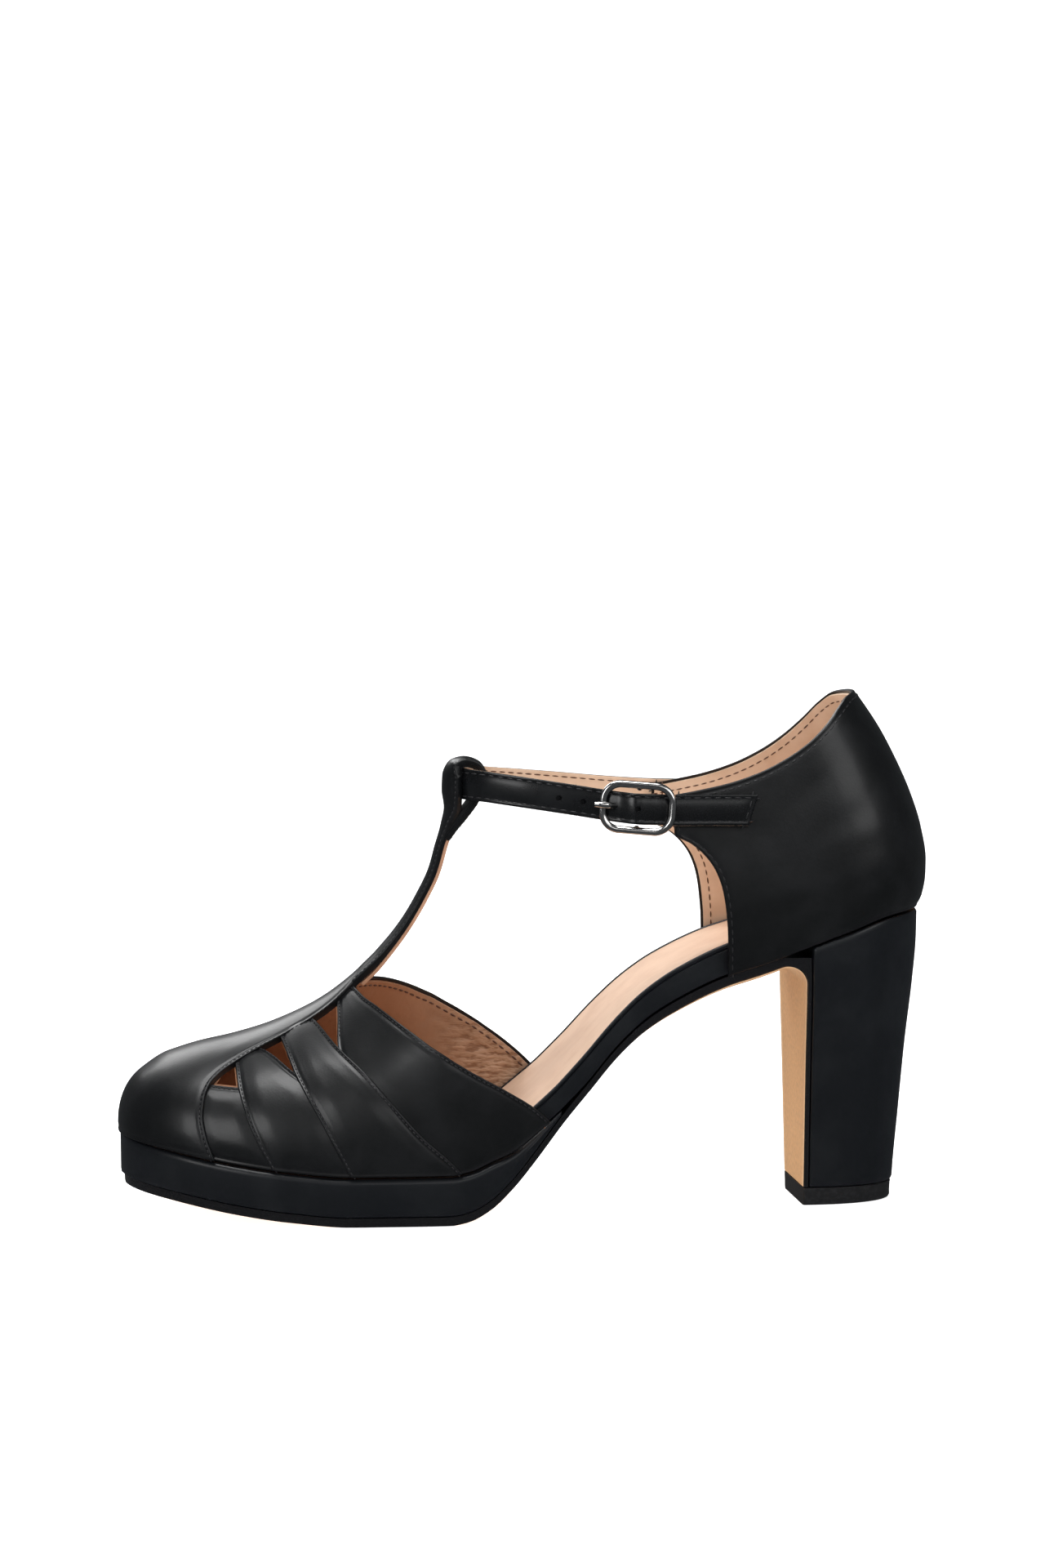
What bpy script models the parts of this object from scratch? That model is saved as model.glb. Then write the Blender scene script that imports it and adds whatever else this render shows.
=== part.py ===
"""A left T-strap shoe on a block heel with a low platform, modelled standing on the floor.

Metres, +Z up. The toe points to -X, the buckle (outer) side faces -Y, and the floor is z = 0.
"""
import math
from dataclasses import dataclass

import bmesh
import bpy
import numpy as np
from mathutils import Vector

# Length and widths of the last, at the edge where the upper meets the sole
SHOE_LENGTH = 0.226
BALL_WIDTH = 0.0762
WAIST_WIDTH = 0.0555
SEAT_WIDTH = 0.0550
TOE_ROUND = 0.046
HEEL_ROUND = 0.027
TOE_BLUNTNESS = 2.35
HEEL_BLUNTNESS = 2.15
TOE_TIP = -0.1135

# Heights of the sole's layers
SEAT_RISE = 0.0802
TOE_SPRING = 0.0090
OUTSOLE_THICKNESS = 0.0029
PLATFORM_HEIGHT = 0.0109
BOARD_THICKNESS = 0.0089
SOCK_THICKNESS = 0.0012
RIM_WIDTH = 0.0014
WAIST_CROWN = 0.0034
PLATFORM_EDGE_ROUND = 0.0022
PLATFORM_OVERHANG = 0.0006

# Upper
THROAT_RISE = 0.0502
TOE_BOX_ROUND = 0.0140
VAMP_WALL = 0.0015
STRIP_STEP = 0.0004
CAP_STEP = 0.0012
LAP_DEPTH = 0.0004
BAR_HALF_WIDTH = 0.0050
BAR_THICKNESS = 0.0022
LOOP_HALF_WIDTH = 0.0068
BAR_BOW = 0.22
QUARTER_WALL = 0.0020
COUNTER_HEIGHT = 0.0630
QUARTER_REACH = 0.650

# Heel
HEEL_BREAST = 0.0782
HEEL_TIP_BACK = 0.1042
HEEL_TOP_BACK = 0.1116
HEEL_TIP_WIDTH = 0.0345
FLAP_THICKNESS = 0.0012
TOP_PIECE_HEIGHT = 0.0050

# Ankle strap and buckle
STRAP_WIDTH = 0.0085
STRAP_THICKNESS = 0.0018
STRAP_FRONT = -0.0175
STRAP_FRONT_HEIGHT = 0.1196
STRAP_EAR_HEIGHT = 0.1127
HOLE_WIDTH = 0.0016
BUCKLE_PLACE = 0.0294
BUCKLE_LENGTH = 0.0212
BUCKLE_WIDTH = 0.0146
BUCKLE_WIRE = 0.00095
BAR_WIRE = 0.0008
PRONG_WIRE = 0.0009
TAB_WIDTH = 0.0072
EAR_END = 0.0395

CLEARANCE = 0.0003


# Sole in side view: along is the share of the length from the toe
@dataclass(frozen=True)
class SoleRow:
    """One station of the sole; its heights are shares of the named sizes."""

    along: float
    spring: float
    arch: float
    platform: float
    board: float


SOLE = [
    SoleRow(0.000, 1.00, 0.000, 1.00, 0.34),
    SoleRow(0.060, 0.72, 0.000, 1.00, 0.34),
    SoleRow(0.130, 0.38, 0.000, 1.00, 0.34),
    SoleRow(0.200, 0.14, 0.000, 1.00, 0.34),
    SoleRow(0.270, 0.00, 0.000, 1.00, 0.34),
    SoleRow(0.330, 0.00, 0.000, 1.00, 0.36),
    SoleRow(0.392, 0.00, 0.000, 1.00, 0.45),
    SoleRow(0.414, 0.00, 0.010, 0.99, 0.64),
    SoleRow(0.440, 0.00, 0.045, 0.94, 0.78),
    SoleRow(0.471, 0.00, 0.122, 0.66, 0.84),
    SoleRow(0.502, 0.00, 0.222, 0.40, 0.88),
    SoleRow(0.537, 0.00, 0.343, 0.10, 0.95),
    SoleRow(0.571, 0.00, 0.451, 0.00, 1.00),
    SoleRow(0.604, 0.00, 0.555, 0.00, 0.96),
    SoleRow(0.641, 0.00, 0.646, 0.00, 0.97),
    SoleRow(0.676, 0.00, 0.707, 0.00, 1.00),
    SoleRow(0.741, 0.00, 0.790, 0.00, 1.01),
    SoleRow(0.793, 0.00, 0.834, 0.00, 1.02),
    SoleRow(0.842, 0.00, 0.883, 0.00, 0.90),
    SoleRow(0.895, 0.00, 0.936, 0.00, 0.67),
    SoleRow(0.950, 0.00, 0.985, 0.00, 0.47),
    SoleRow(1.000, 0.00, 1.000, 0.00, 0.46),
]


# Plan outline: ball, waist and seat are shares of those half widths, added together
@dataclass(frozen=True)
class PlanRow:
    """One station of the outline seen from above; shift is a share of the ball width."""

    along: float
    ball: float
    waist: float
    seat: float
    shift: float


PLAN = [
    PlanRow(0.00, 0.88, 0.00, 0.00, 0.045),
    PlanRow(0.10, 0.90, 0.00, 0.00, 0.042),
    PlanRow(0.20, 0.965, 0.00, 0.00, 0.024),
    PlanRow(0.29, 1.00, 0.00, 0.00, 0.002),
    PlanRow(0.36, 0.995, 0.00, 0.00, -0.014),
    PlanRow(0.43, 0.93, 0.02, 0.00, -0.030),
    PlanRow(0.50, 0.50, 0.53, 0.00, -0.036),
    PlanRow(0.57, 0.12, 0.93, 0.00, -0.032),
    PlanRow(0.65, 0.00, 1.00, 0.00, -0.022),
    PlanRow(0.73, 0.00, 0.80, 0.19, -0.012),
    PlanRow(0.81, 0.00, 0.20, 0.79, -0.005),
    PlanRow(0.90, 0.00, 0.00, 1.01, 0.000),
    PlanRow(1.00, 0.00, 0.00, 1.00, 0.000),
]


# Vamp sections: rise is a share of the throat rise, peak pinches the ridge
@dataclass(frozen=True)
class VampRow:
    """One cross section of the last under the vamp."""

    along: float
    rise: float
    peak: float


VAMP = [
    VampRow(0.000, 0.37, 0.00),
    VampRow(0.030, 0.395, 0.00),
    VampRow(0.062, 0.470, 0.02),
    VampRow(0.100, 0.555, 0.06),
    VampRow(0.145, 0.635, 0.12),
    VampRow(0.190, 0.725, 0.22),
    VampRow(0.240, 0.850, 0.33),
    VampRow(0.286, 1.000, 0.40),
    VampRow(0.327, 1.180, 0.42),
    VampRow(0.369, 1.455, 0.42),
    VampRow(0.402, 1.840, 0.40),
    VampRow(0.460, 2.400, 0.30),
    VampRow(0.550, 2.900, 0.20),
]


# Lines drawn on the vamp: along from the toe, rise as a share of the section's height
@dataclass(frozen=True)
class LinePoint:
    """One point of a cut line on the vamp."""

    along: float
    rise: float


CAP_EDGE = [
    LinePoint(0.109, 0.000),
    LinePoint(0.099, 0.230),
    LinePoint(0.096, 0.400),
    LinePoint(0.099, 0.560),
    LinePoint(0.106, 0.680),
    LinePoint(0.121, 0.775),
    LinePoint(0.141, 0.840),
    LinePoint(0.163, 0.885),
    LinePoint(0.192, 0.915),
    LinePoint(0.232, 0.940),
    LinePoint(0.268, 0.960),
    LinePoint(0.290, 0.980),
    LinePoint(0.300, 1.000),
]
TOPLINE_OUTER = [
    LinePoint(0.517, 0.000),
    LinePoint(0.486, 0.090),
    LinePoint(0.432, 0.220),
    LinePoint(0.402, 0.330),
    LinePoint(0.359, 0.550),
    LinePoint(0.320, 0.760),
    LinePoint(0.290, 0.940),
    LinePoint(0.280, 1.000),
]
TOPLINE_INNER = [
    LinePoint(0.540, 0.000),
    LinePoint(0.505, 0.110),
    LinePoint(0.463, 0.236),
    LinePoint(0.422, 0.365),
    LinePoint(0.380, 0.575),
    LinePoint(0.340, 0.780),
    LinePoint(0.300, 0.940),
    LinePoint(0.280, 1.000),
]
SECOND_STRIP_FRONT = [
    LinePoint(0.177, 0.000),
    LinePoint(0.161, 0.190),
    LinePoint(0.147, 0.430),
    LinePoint(0.139, 0.680),
    LinePoint(0.137, 0.920),
]
THIRD_STRIP_FRONT = [
    LinePoint(0.271, 0.000),
    LinePoint(0.247, 0.235),
    LinePoint(0.232, 0.400),
    LinePoint(0.218, 0.550),
    LinePoint(0.207, 0.700),
    LinePoint(0.192, 0.965),
]
THIRD_STRIP_REAR = [
    LinePoint(0.407, 0.000),
    LinePoint(0.361, 0.147),
    LinePoint(0.333, 0.285),
    LinePoint(0.305, 0.460),
    LinePoint(0.260, 0.760),
    LinePoint(0.232, 0.970),
]
STRIP_TUCK = 0.012
SECOND_STRIP_TOP = 0.66

# Sole's stations as shares of the length, and shares of its layers' sections
WAIST_START = 0.44
WAIST_END = 0.54
PLATFORM_END = 0.532
SOLE_STATIONS = 46
STATION_GAP = 0.001
OUTSOLE_EDGE = 0.25
UNDERSIDE = (0.96, 0.60, 0.25, -0.25, -0.60, -0.96)
DEEPEST_INSET = 0.85
ROUND_SHOULDER = 0.30
PLATFORM_ROUND_LIMIT = 0.45
PLATFORM_TOP_FLAT = 0.20
HEEL_BEND = 0.85

# Small corners, rounds and insets
LIP_RADIUS = 0.0052
HEEL_CORNER = 0.0008
WRAPPED_CORNER = 0.0004
TOP_PIECE_INSET = 0.0003
OUTSOLE_INSET = 0.0010


@dataclass(frozen=True)
class Window:
    """A three-cornered opening between the strips, cut right through."""

    name: str
    corners: tuple


WINDOWS = [
    Window("front", (LinePoint(0.1135, 0.690), LinePoint(0.1375, 0.660), LinePoint(0.1365, 0.880))),
    Window("middle", (LinePoint(0.160, 0.925), LinePoint(0.194, 0.940), LinePoint(0.2075, 0.690))),
    Window("rear", (LinePoint(0.235, 0.955), LinePoint(0.266, 0.965), LinePoint(0.262, 0.745))),
]


# T-bar and loop in side view
@dataclass(frozen=True)
class BarRow:
    """One station of the bar: along and height are shares of the length and the strap's height."""

    along: float
    height: float
    loop: float


BAR = [
    BarRow(0.262, 0.508, 0.12),
    BarRow(0.286, 0.538, 0.04),
    BarRow(0.307, 0.572, 0.00),
    BarRow(0.327, 0.616, 0.00),
    BarRow(0.348, 0.669, 0.00),
    BarRow(0.369, 0.734, 0.00),
    BarRow(0.386, 0.800, 0.00),
    BarRow(0.395, 0.860, 0.05),
    BarRow(0.402, 0.905, 0.25),
    BarRow(0.406, 0.945, 0.70),
    BarRow(0.4035, 0.985, 1.00),
    BarRow(0.4045, 1.020, 1.00),
    BarRow(0.414, 1.051, 0.60),
    BarRow(0.4290, 1.058, 0.20),
    BarRow(0.4455, 1.048, 0.00),
    BarRow(0.4545, 1.016, 0.00),
    BarRow(0.4505, 0.968, 0.00),
    BarRow(0.4380, 0.925, 0.00),
    BarRow(0.4200, 0.894, 0.00),
    BarRow(0.4060, 0.868, 0.00),
]


# Counter: setback is a share of the length, width a share of the outline's width
@dataclass(frozen=True)
class CounterRow:
    """One level of the quarter around the heel."""

    level: float
    setback: float
    width: float


COUNTER = [
    CounterRow(0.000, -0.0030, 1.000),
    CounterRow(0.060, 0.0030, 1.020),
    CounterRow(0.135, 0.0068, 1.035),
    CounterRow(0.210, 0.0075, 1.035),
    CounterRow(0.360, 0.0012, 1.000),
    CounterRow(0.505, -0.0110, 0.945),
    CounterRow(0.650, -0.0280, 0.885),
    CounterRow(0.800, -0.0495, 0.830),
    CounterRow(0.950, -0.0775, 0.790),
    CounterRow(1.000, -0.0885, 0.780),
]


# Quarter's cut outline in side view
@dataclass(frozen=True)
class CutRow:
    """One corner of the quarter's outline: shares of the length and of the counter height."""

    along: float
    height: float


QUARTER_FRONT = [
    CutRow(0.742, -0.280),
    CutRow(0.7415, -0.080),
    CutRow(0.739, 0.040),
    CutRow(0.735, 0.125),
    CutRow(0.727, 0.205),
    CutRow(0.714, 0.272),
    CutRow(0.697, 0.325),
    CutRow(0.677, 0.366),
]
QUARTER_TOP = [
    CutRow(0.677, 0.538),
    CutRow(0.710, 0.558),
    CutRow(0.745, 0.584),
    CutRow(0.782, 0.626),
    CutRow(0.815, 0.682),
    CutRow(0.846, 0.755),
    CutRow(0.870, 0.832),
    CutRow(0.890, 0.912),
    CutRow(0.905, 0.958),
    CutRow(0.925, 0.975),
    CutRow(0.960, 0.975),
]


# Heel block: level runs from the floor to the seat
@dataclass(frozen=True)
class HeelRow:
    """One level of the heel: width between tip and seat width, back between tip and top."""

    level: float
    width: float
    back: float


HEEL = [
    HeelRow(0.00, 0.00, 0.00),
    HeelRow(0.12, 0.15, 0.09),
    HeelRow(0.30, 0.32, 0.28),
    HeelRow(0.55, 0.58, 0.55),
    HeelRow(0.75, 0.82, 0.82),
    HeelRow(0.90, 0.95, 0.97),
    HeelRow(1.00, 0.98, 1.00),
]


# Ankle strap in plan: across is a share of the seat half width, drop a share from loop to ear
@dataclass(frozen=True)
class StrapRow:
    """One station of the ankle strap: back is the share of the way from its front to the ear."""

    back: float
    across: float
    drop: float
    lift: float


STRAP_INNER = [
    StrapRow(1.130, 0.953, 0.86, 0.0),
    StrapRow(1.000, 0.950, 0.82, 0.0),
    StrapRow(0.800, 0.880, 0.68, 0.0),
    StrapRow(0.520, 0.740, 0.42, 0.0),
    StrapRow(0.260, 0.545, 0.18, 0.0),
    StrapRow(0.085, 0.345, 0.03, 0.0),
    StrapRow(0.018, 0.180, 0.01, 0.0),
]
STRAP_OUTER = [
    StrapRow(0.000, 0.000, 0.00, 0.0),
    StrapRow(0.018, -0.180, 0.01, 0.0),
    StrapRow(0.085, -0.345, 0.05, 0.0),
    StrapRow(0.260, -0.545, 0.24, 0.0),
    StrapRow(0.520, -0.730, 0.56, 0.0),
    StrapRow(0.640, -0.800, 0.72, 0.0),
    StrapRow(0.730, -0.845, 0.82, 0.30),
    StrapRow(0.823, -0.885, 0.89, 1.00),
    StrapRow(0.915, -0.925, 0.94, 0.30),
    StrapRow(1.000, -0.950, 0.98, 0.0),
    StrapRow(1.200, -0.955, 1.00, 0.0),
    StrapRow(1.385, -0.957, 1.03, 0.0),
]
STRAP_LIFT = 0.0029
STRAP_LEAN = 0.12
TIP_SLANT = 0.33
STRAP_HOLES = (0.450, 0.565, 0.820)

# Buckle, in its own plane: along is towards the heel, out is away from the ankle
BUCKLE_CORNER = 0.0058
BUCKLE_OUT = 0.0024
BAR_OUT = -0.0004
TAB_WRAP = 0.0021
PRONG_EYE = 0.55
BAR_CRANK = 0.0012
SLOT_REACH = 0.0040
SLOT_BACK = 0.72
TAB_BEND = 0.0010
SEAT_START = 0.0040


@dataclass(frozen=True)
class PlanePoint:
    """A point of the buckle's side outlines; wire is a share of the prong's radius."""

    along: float
    out: float
    wire: float


PRONG = [
    PlanePoint(-0.0030, -0.00195, 0.55),
    PlanePoint(-0.0044, -0.00150, 0.75),
    PlanePoint(-0.0055, -0.00040, 0.95),
    PlanePoint(-0.0064, 0.00140, 1.00),
    PlanePoint(-0.0074, 0.00330, 1.00),
    PlanePoint(-0.0086, 0.00450, 1.00),
    PlanePoint(-0.0100, 0.00470, 1.00),
    PlanePoint(-0.0116, 0.00445, 0.90),
]
TAB_OUTER = [
    PlanePoint(0.0089, -0.00125, 1.0),
    PlanePoint(0.0062, -0.00120, 1.0),
    PlanePoint(0.0042, -0.00060, 1.0),
    PlanePoint(0.0022, 0.00080, 1.0),
]
TAB_INNER = [
    PlanePoint(0.0022, -0.00270, 1.0),
    PlanePoint(0.0052, -0.00310, 1.0),
    PlanePoint(0.0089, -0.00325, 1.0),
]


class Curve:
    """A smooth curve through a short table, one value for each place."""

    def __init__(self, places, values):
        self.places = np.array(places, float)
        self.values = np.array(values, float)
        step = np.diff(self.places)
        slope = np.diff(self.values) / step
        tangent = np.zeros(len(self.places))
        tangent[0] = slope[0]
        tangent[-1] = slope[-1]
        for i in range(1, len(self.places) - 1):
            if slope[i - 1] * slope[i] > 0:
                near = 2 * step[i] + step[i - 1]
                far = step[i] + 2 * step[i - 1]
                tangent[i] = (near + far) / (near / slope[i - 1] + far / slope[i])
        self.tangents = tangent

    def at(self, place):
        """The value at a place, held at the ends."""
        place = min(max(place, self.places[0]), self.places[-1])
        i = min(max(int(np.searchsorted(self.places, place)) - 1, 0), len(self.places) - 2)
        span = self.places[i + 1] - self.places[i]
        t = (place - self.places[i]) / span
        low, high = self.values[i], self.values[i + 1]
        rise = span * self.tangents[i]
        fall = span * self.tangents[i + 1]
        blend = t * t * (3 - 2 * t)
        return low + (high - low) * blend + rise * t * (1 - t) ** 2 - fall * t * t * (1 - t)


def column(rows, place, value):
    """A curve of one named column of a table against another."""
    ordered = sorted(rows, key=lambda row: getattr(row, place))
    return Curve([getattr(r, place) for r in ordered], [getattr(r, value) for r in ordered])


def round_end(share, bluntness):
    """From 0 at an end to 1 where the round of the end is over."""
    inside = min(max(share, 0.0), 1.0)
    return (1 - (1 - inside) ** bluntness) ** (1 / bluntness)


SPRING = column(SOLE, "along", "spring")
ARCH = column(SOLE, "along", "arch")
PLATFORM = column(SOLE, "along", "platform")
BOARD = column(SOLE, "along", "board")
BALL = column(PLAN, "along", "ball")
WAIST = column(PLAN, "along", "waist")
SEAT = column(PLAN, "along", "seat")
SHIFT = column(PLAN, "along", "shift")
RISE = column(VAMP, "along", "rise")
PEAK = column(VAMP, "along", "peak")
SETBACK = column(COUNTER, "level", "setback")
LEAN = column(COUNTER, "level", "width")


def place(along):
    """x of a share of the length."""
    return TOE_TIP + SHOE_LENGTH * along


def share(x):
    """Share of the length at x."""
    return (x - TOE_TIP) / SHOE_LENGTH


def ground_line(x):
    """Height of the outsole's underside edge."""
    return TOE_SPRING * SPRING.at(share(x)) + SEAT_RISE * ARCH.at(share(x))


def feather_line(x):
    """Height where the upper meets the platform, the waist edge or the heel."""
    return ground_line(x) + OUTSOLE_THICKNESS + PLATFORM_HEIGHT * PLATFORM.at(share(x))


def bed_line(x):
    """Height of the footbed."""
    return feather_line(x) + BOARD_THICKNESS * BOARD.at(share(x))


def body_width(x):
    """Half width of the outline before its ends are rounded."""
    along = share(x)
    half = BALL_WIDTH * BALL.at(along) + WAIST_WIDTH * WAIST.at(along) + SEAT_WIDTH * SEAT.at(along)
    return half / 2


def centre(x):
    """Sideways shift of the outline's middle."""
    return BALL_WIDTH * SHIFT.at(share(x))


def outline_width(x, inset=0.0):
    """Half width of the upper's outline at the sole, moved in by inset."""
    front = round_end((x - TOE_TIP - inset) / TOE_ROUND, TOE_BLUNTNESS)
    back = round_end((TOE_TIP + SHOE_LENGTH - inset - x) / HEEL_ROUND, HEEL_BLUNTNESS)
    return max(body_width(x) - inset, 0.0) * front * back


def vamp_height(x):
    """Height of the ridge above the feather line."""
    toe = round_end((x - TOE_TIP) / TOE_BOX_ROUND, TOE_BLUNTNESS)
    return THROAT_RISE * RISE.at(share(x)) * toe


def vamp_point(x, turn):
    """Point of the vamp's surface: turn runs from 0 (outer feather line) over the ridge to pi."""
    lift = math.sin(turn)
    pinch = 1 - PEAK.at(share(x)) * lift ** 4
    y = centre(x) - outline_width(x) * math.cos(turn) * pinch
    return (x, y, feather_line(x) + CLEARANCE + vamp_height(x) * lift)


def turn_of(rise):
    """Turn at a share of the section's height, on the outer side."""
    return math.asin(min(max(rise, 0.0), 1.0))


def limit_curve(outer, inner):
    """x of a line across the vamp against the turn, from its outer and inner tables."""
    turns = [turn_of(p.rise) for p in outer] + [math.pi - turn_of(p.rise) for p in reversed(inner[:-1])]
    places = [place(p.along) for p in outer] + [place(p.along) for p in reversed(inner[:-1])]
    return Curve(turns, places)


def quarter_point(x, side, level):
    """Point of the quarter's surface at a share of the counter height."""
    bottom = feather_line(x)
    top = SEAT_RISE + OUTSOLE_THICKNESS + COUNTER_HEIGHT
    width = body_width(x) * LEAN.at(level)
    back = round_end((quarter_back(level) - x) / HEEL_ROUND, HEEL_BLUNTNESS)
    return (x, centre(x) + side * width * back, bottom + (top - bottom) * level)


def quarter_back(level):
    """x of the counter's back at a level."""
    return place(1.0) + SHOE_LENGTH * SETBACK.at(level)


def spaced(low, high, count, crowd=1.0):
    """Evenly spaced values, crowded towards the low end when crowd is over 1."""
    return [low + (high - low) * (i / (count - 1)) ** crowd for i in range(count)]


def start_scene():
    """Removes what the scene holds and makes the two collections."""
    for obj in list(bpy.data.objects):
        bpy.data.objects.remove(obj, do_unlink=True)
    made = []
    for name in ("t_strap_shoe", "cutters"):
        group = bpy.data.collections.new(name)
        bpy.context.scene.collection.children.link(group)
        made.append(group)
    return made


PARTS, CUTTERS = start_scene()


def finish(name, colour, roughness, metallic=0.0):
    """A plain material."""
    material = bpy.data.materials.new(name)
    material.use_nodes = True
    shader = material.node_tree.nodes["Principled BSDF"]
    shader.inputs["Base Color"].default_value = (*colour, 1.0)
    shader.inputs["Roughness"].default_value = roughness
    shader.inputs["Metallic"].default_value = metallic
    return material


BLACK_LEATHER = finish("black_leather", (0.012, 0.013, 0.015), 0.38)
BLACK_EDGE = finish("black_edge", (0.008, 0.008, 0.009), 0.25)
BEIGE_SOCK = finish("beige_sock", (0.72, 0.52, 0.39), 0.60)
BLACK_RUBBER = finish("black_rubber", (0.010, 0.010, 0.011), 0.55)
POLISHED_STEEL = finish("polished_steel", (0.72, 0.71, 0.69), 0.16, 1.0)


def new_object(name, mesh, group, material=None):
    """Links a mesh as a smooth-shaded object, or as a wire cutter."""
    obj = bpy.data.objects.new(name, mesh)
    group.objects.link(obj)
    if material:
        mesh.materials.append(material)
    if group is CUTTERS:
        obj.hide_render = True
        obj.display_type = "WIRE"
    return obj


def clean(bm):
    """Merges doubled corners, drops collapsed faces and turns the faces outwards."""
    bmesh.ops.remove_doubles(bm, verts=bm.verts, dist=1e-6)
    bmesh.ops.dissolve_degenerate(bm, edges=bm.edges, dist=1e-6)
    bmesh.ops.recalc_face_normals(bm, faces=bm.faces)


def mesh_of(name, bm):
    """Turns the working mesh into mesh data."""
    mesh = bpy.data.meshes.new(name)
    bm.to_mesh(mesh)
    bm.free()
    return mesh


def surface(name, rows):
    """An open surface lofted through rows of points."""
    bm = bmesh.new()
    grid = [[bm.verts.new(p) for p in row] for row in rows]
    for near, far in zip(grid, grid[1:]):
        for i in range(len(near) - 1):
            bm.faces.new((near[i], near[i + 1], far[i + 1], far[i]))
    bmesh.ops.remove_doubles(bm, verts=bm.verts, dist=1e-6)
    return mesh_of(name, bm)


def loft(name, rings):
    """A closed solid lofted through rings of points, its first and last ring filled."""
    bm = bmesh.new()
    grid = [[bm.verts.new(p) for p in ring] for ring in rings]
    for near, far in zip(grid, grid[1:]):
        for i in range(len(near)):
            j = (i + 1) % len(near)
            bm.faces.new((near[i], near[j], far[j], far[i]))
    bm.faces.new(grid[0][::-1])
    bm.faces.new(grid[-1])
    clean(bm)
    return mesh_of(name, bm)


def settle(obj):
    """Bakes an object's modifiers into its mesh."""
    bpy.context.view_layer.update()
    graph = bpy.context.evaluated_depsgraph_get()
    baked = bpy.data.meshes.new_from_object(obj.evaluated_get(graph))
    obj.modifiers.clear()
    old = obj.data
    obj.data = baked
    bpy.data.meshes.remove(old)
    return obj


def sheet(name, rows, outer, inner, group, material=None):
    """A sheet of leather: the surface thickened outwards by outer and inwards by inner."""
    obj = new_object(name, surface(name, rows), group, material)
    solidify = obj.modifiers.new("thickness", "SOLIDIFY")
    solidify.thickness = outer + inner
    solidify.offset = (outer - inner) / (outer + inner)
    solidify.use_even_offset = True
    solidify.use_rim = True
    settle(obj)
    bm = bmesh.new()
    bm.from_mesh(obj.data)
    clean(bm)
    bm.to_mesh(obj.data)
    bm.free()
    return obj


def boolean(obj, other, operation):
    """Cuts or joins another object into this one, exactly."""
    modifier = obj.modifiers.new(operation.lower(), "BOOLEAN")
    modifier.operation = operation
    modifier.solver = "EXACT"
    modifier.object = other
    settle(obj)
    return obj


def join(obj, other):
    """Joins a helper solid into a part and removes the helper."""
    boolean(obj, other, "UNION")
    bpy.data.objects.remove(other, do_unlink=True)
    return obj


def island_of(face, seen):
    """All faces connected to one face."""
    stack = [face]
    island = []
    seen.add(face)
    while stack:
        current = stack.pop()
        island.append(current)
        for edge in current.edges:
            for neighbour in edge.link_faces:
                if neighbour not in seen:
                    seen.add(neighbour)
                    stack.append(neighbour)
    return island


def fill_voids(obj):
    """Fills the sealed crumbs of air left between lapped sheets."""
    bm = bmesh.new()
    bm.from_mesh(obj.data)
    seen = set()
    islands = [island_of(face, seen) for face in bm.faces if face not in seen]
    body = max(islands, key=len)
    crumbs = [face for island in islands if island is not body for face in island]
    bmesh.ops.delete(bm, geom=crumbs, context="FACES")
    bm.to_mesh(obj.data)
    bm.free()


def side_prism(name, outline, low, high):
    """A side-view outline run across the shoe from low to high."""
    return new_object(name, loft(name, [[(x, y, z) for x, z in outline] for y in (low, high)]), CUTTERS)


def vamp_rows(limit, count, columns):
    """Rows of the vamp from the toe tip to a limiting line."""
    turns = spaced(math.pi, 0.0, columns)
    ends = [limit.at(turn) for turn in turns]
    shares = spaced(0.0, 1.0, count, 1.7)
    return [
        [vamp_point(TOE_TIP + (end - TOE_TIP) * along, turn) for turn, end in zip(turns, ends)]
        for along in shares
    ]


def strip_rows(front, rear, top_rear, side, count=5, columns=9):
    """Rows of one strip between its front and rear lines, on the outer or the inner side."""
    front_line = Curve([turn_of(p.rise) for p in front], [place(p.along) for p in front])
    rear_line = Curve([turn_of(p.rise) for p in rear], [place(p.along) for p in rear])
    top_front = turn_of(front[-1].rise)
    top_back = turn_of(top_rear)
    rows = []
    for across in spaced(0.0, 1.0, count):
        row = []
        for up in spaced(0.0, 1.0, columns):
            turn = up * (top_front + (top_back - top_front) * across)
            x = front_line.at(up * top_front) * (1 - across) + rear_line.at(up * top_back) * across
            row.append(vamp_point(x, turn if side < 0 else math.pi - turn))
        rows.append(row)
    return [row[::-1] for row in rows] if side < 0 else rows


def tucked(line, move):
    """A line moved along the shoe, to lie under its neighbour."""
    return [LinePoint(p.along + move, p.rise) for p in line]


def bar_path():
    """Centre line of the T-bar and its loop in side view, with the loop's flare."""
    steps = spaced(0.0, len(BAR) - 1.0, 3 * (len(BAR) - 1) + 1)
    index = list(range(len(BAR)))
    along = Curve(index, [row.along for row in BAR])
    height = Curve(index, [row.height for row in BAR])
    flare = Curve(index, [row.loop for row in BAR])
    return [
        (place(along.at(s)), STRAP_FRONT_HEIGHT * height.at(s), flare.at(s)) for s in steps
    ]


def bar_rows():
    """Rows of the T-bar's outer face, bowed across like the instep."""
    path = bar_path()
    rows = []
    for i, (x, z, flare) in enumerate(path):
        before = path[max(i - 1, 0)]
        after = path[min(i + 1, len(path) - 1)]
        run, climb = after[0] - before[0], after[1] - before[1]
        size = math.hypot(run, climb)
        half = BAR_HALF_WIDTH + (LOOP_HALF_WIDTH - BAR_HALF_WIDTH) * flare
        row = []
        for across in (1.0, 0.5, 0.0, -0.5, -1.0):
            bow = half * across ** 2 * BAR_BOW * (1 - i / len(path))
            row.append((x + climb / size * bow, centre(x) + half * across, z - run / size * bow))
        rows.append(row)
    return rows


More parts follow.
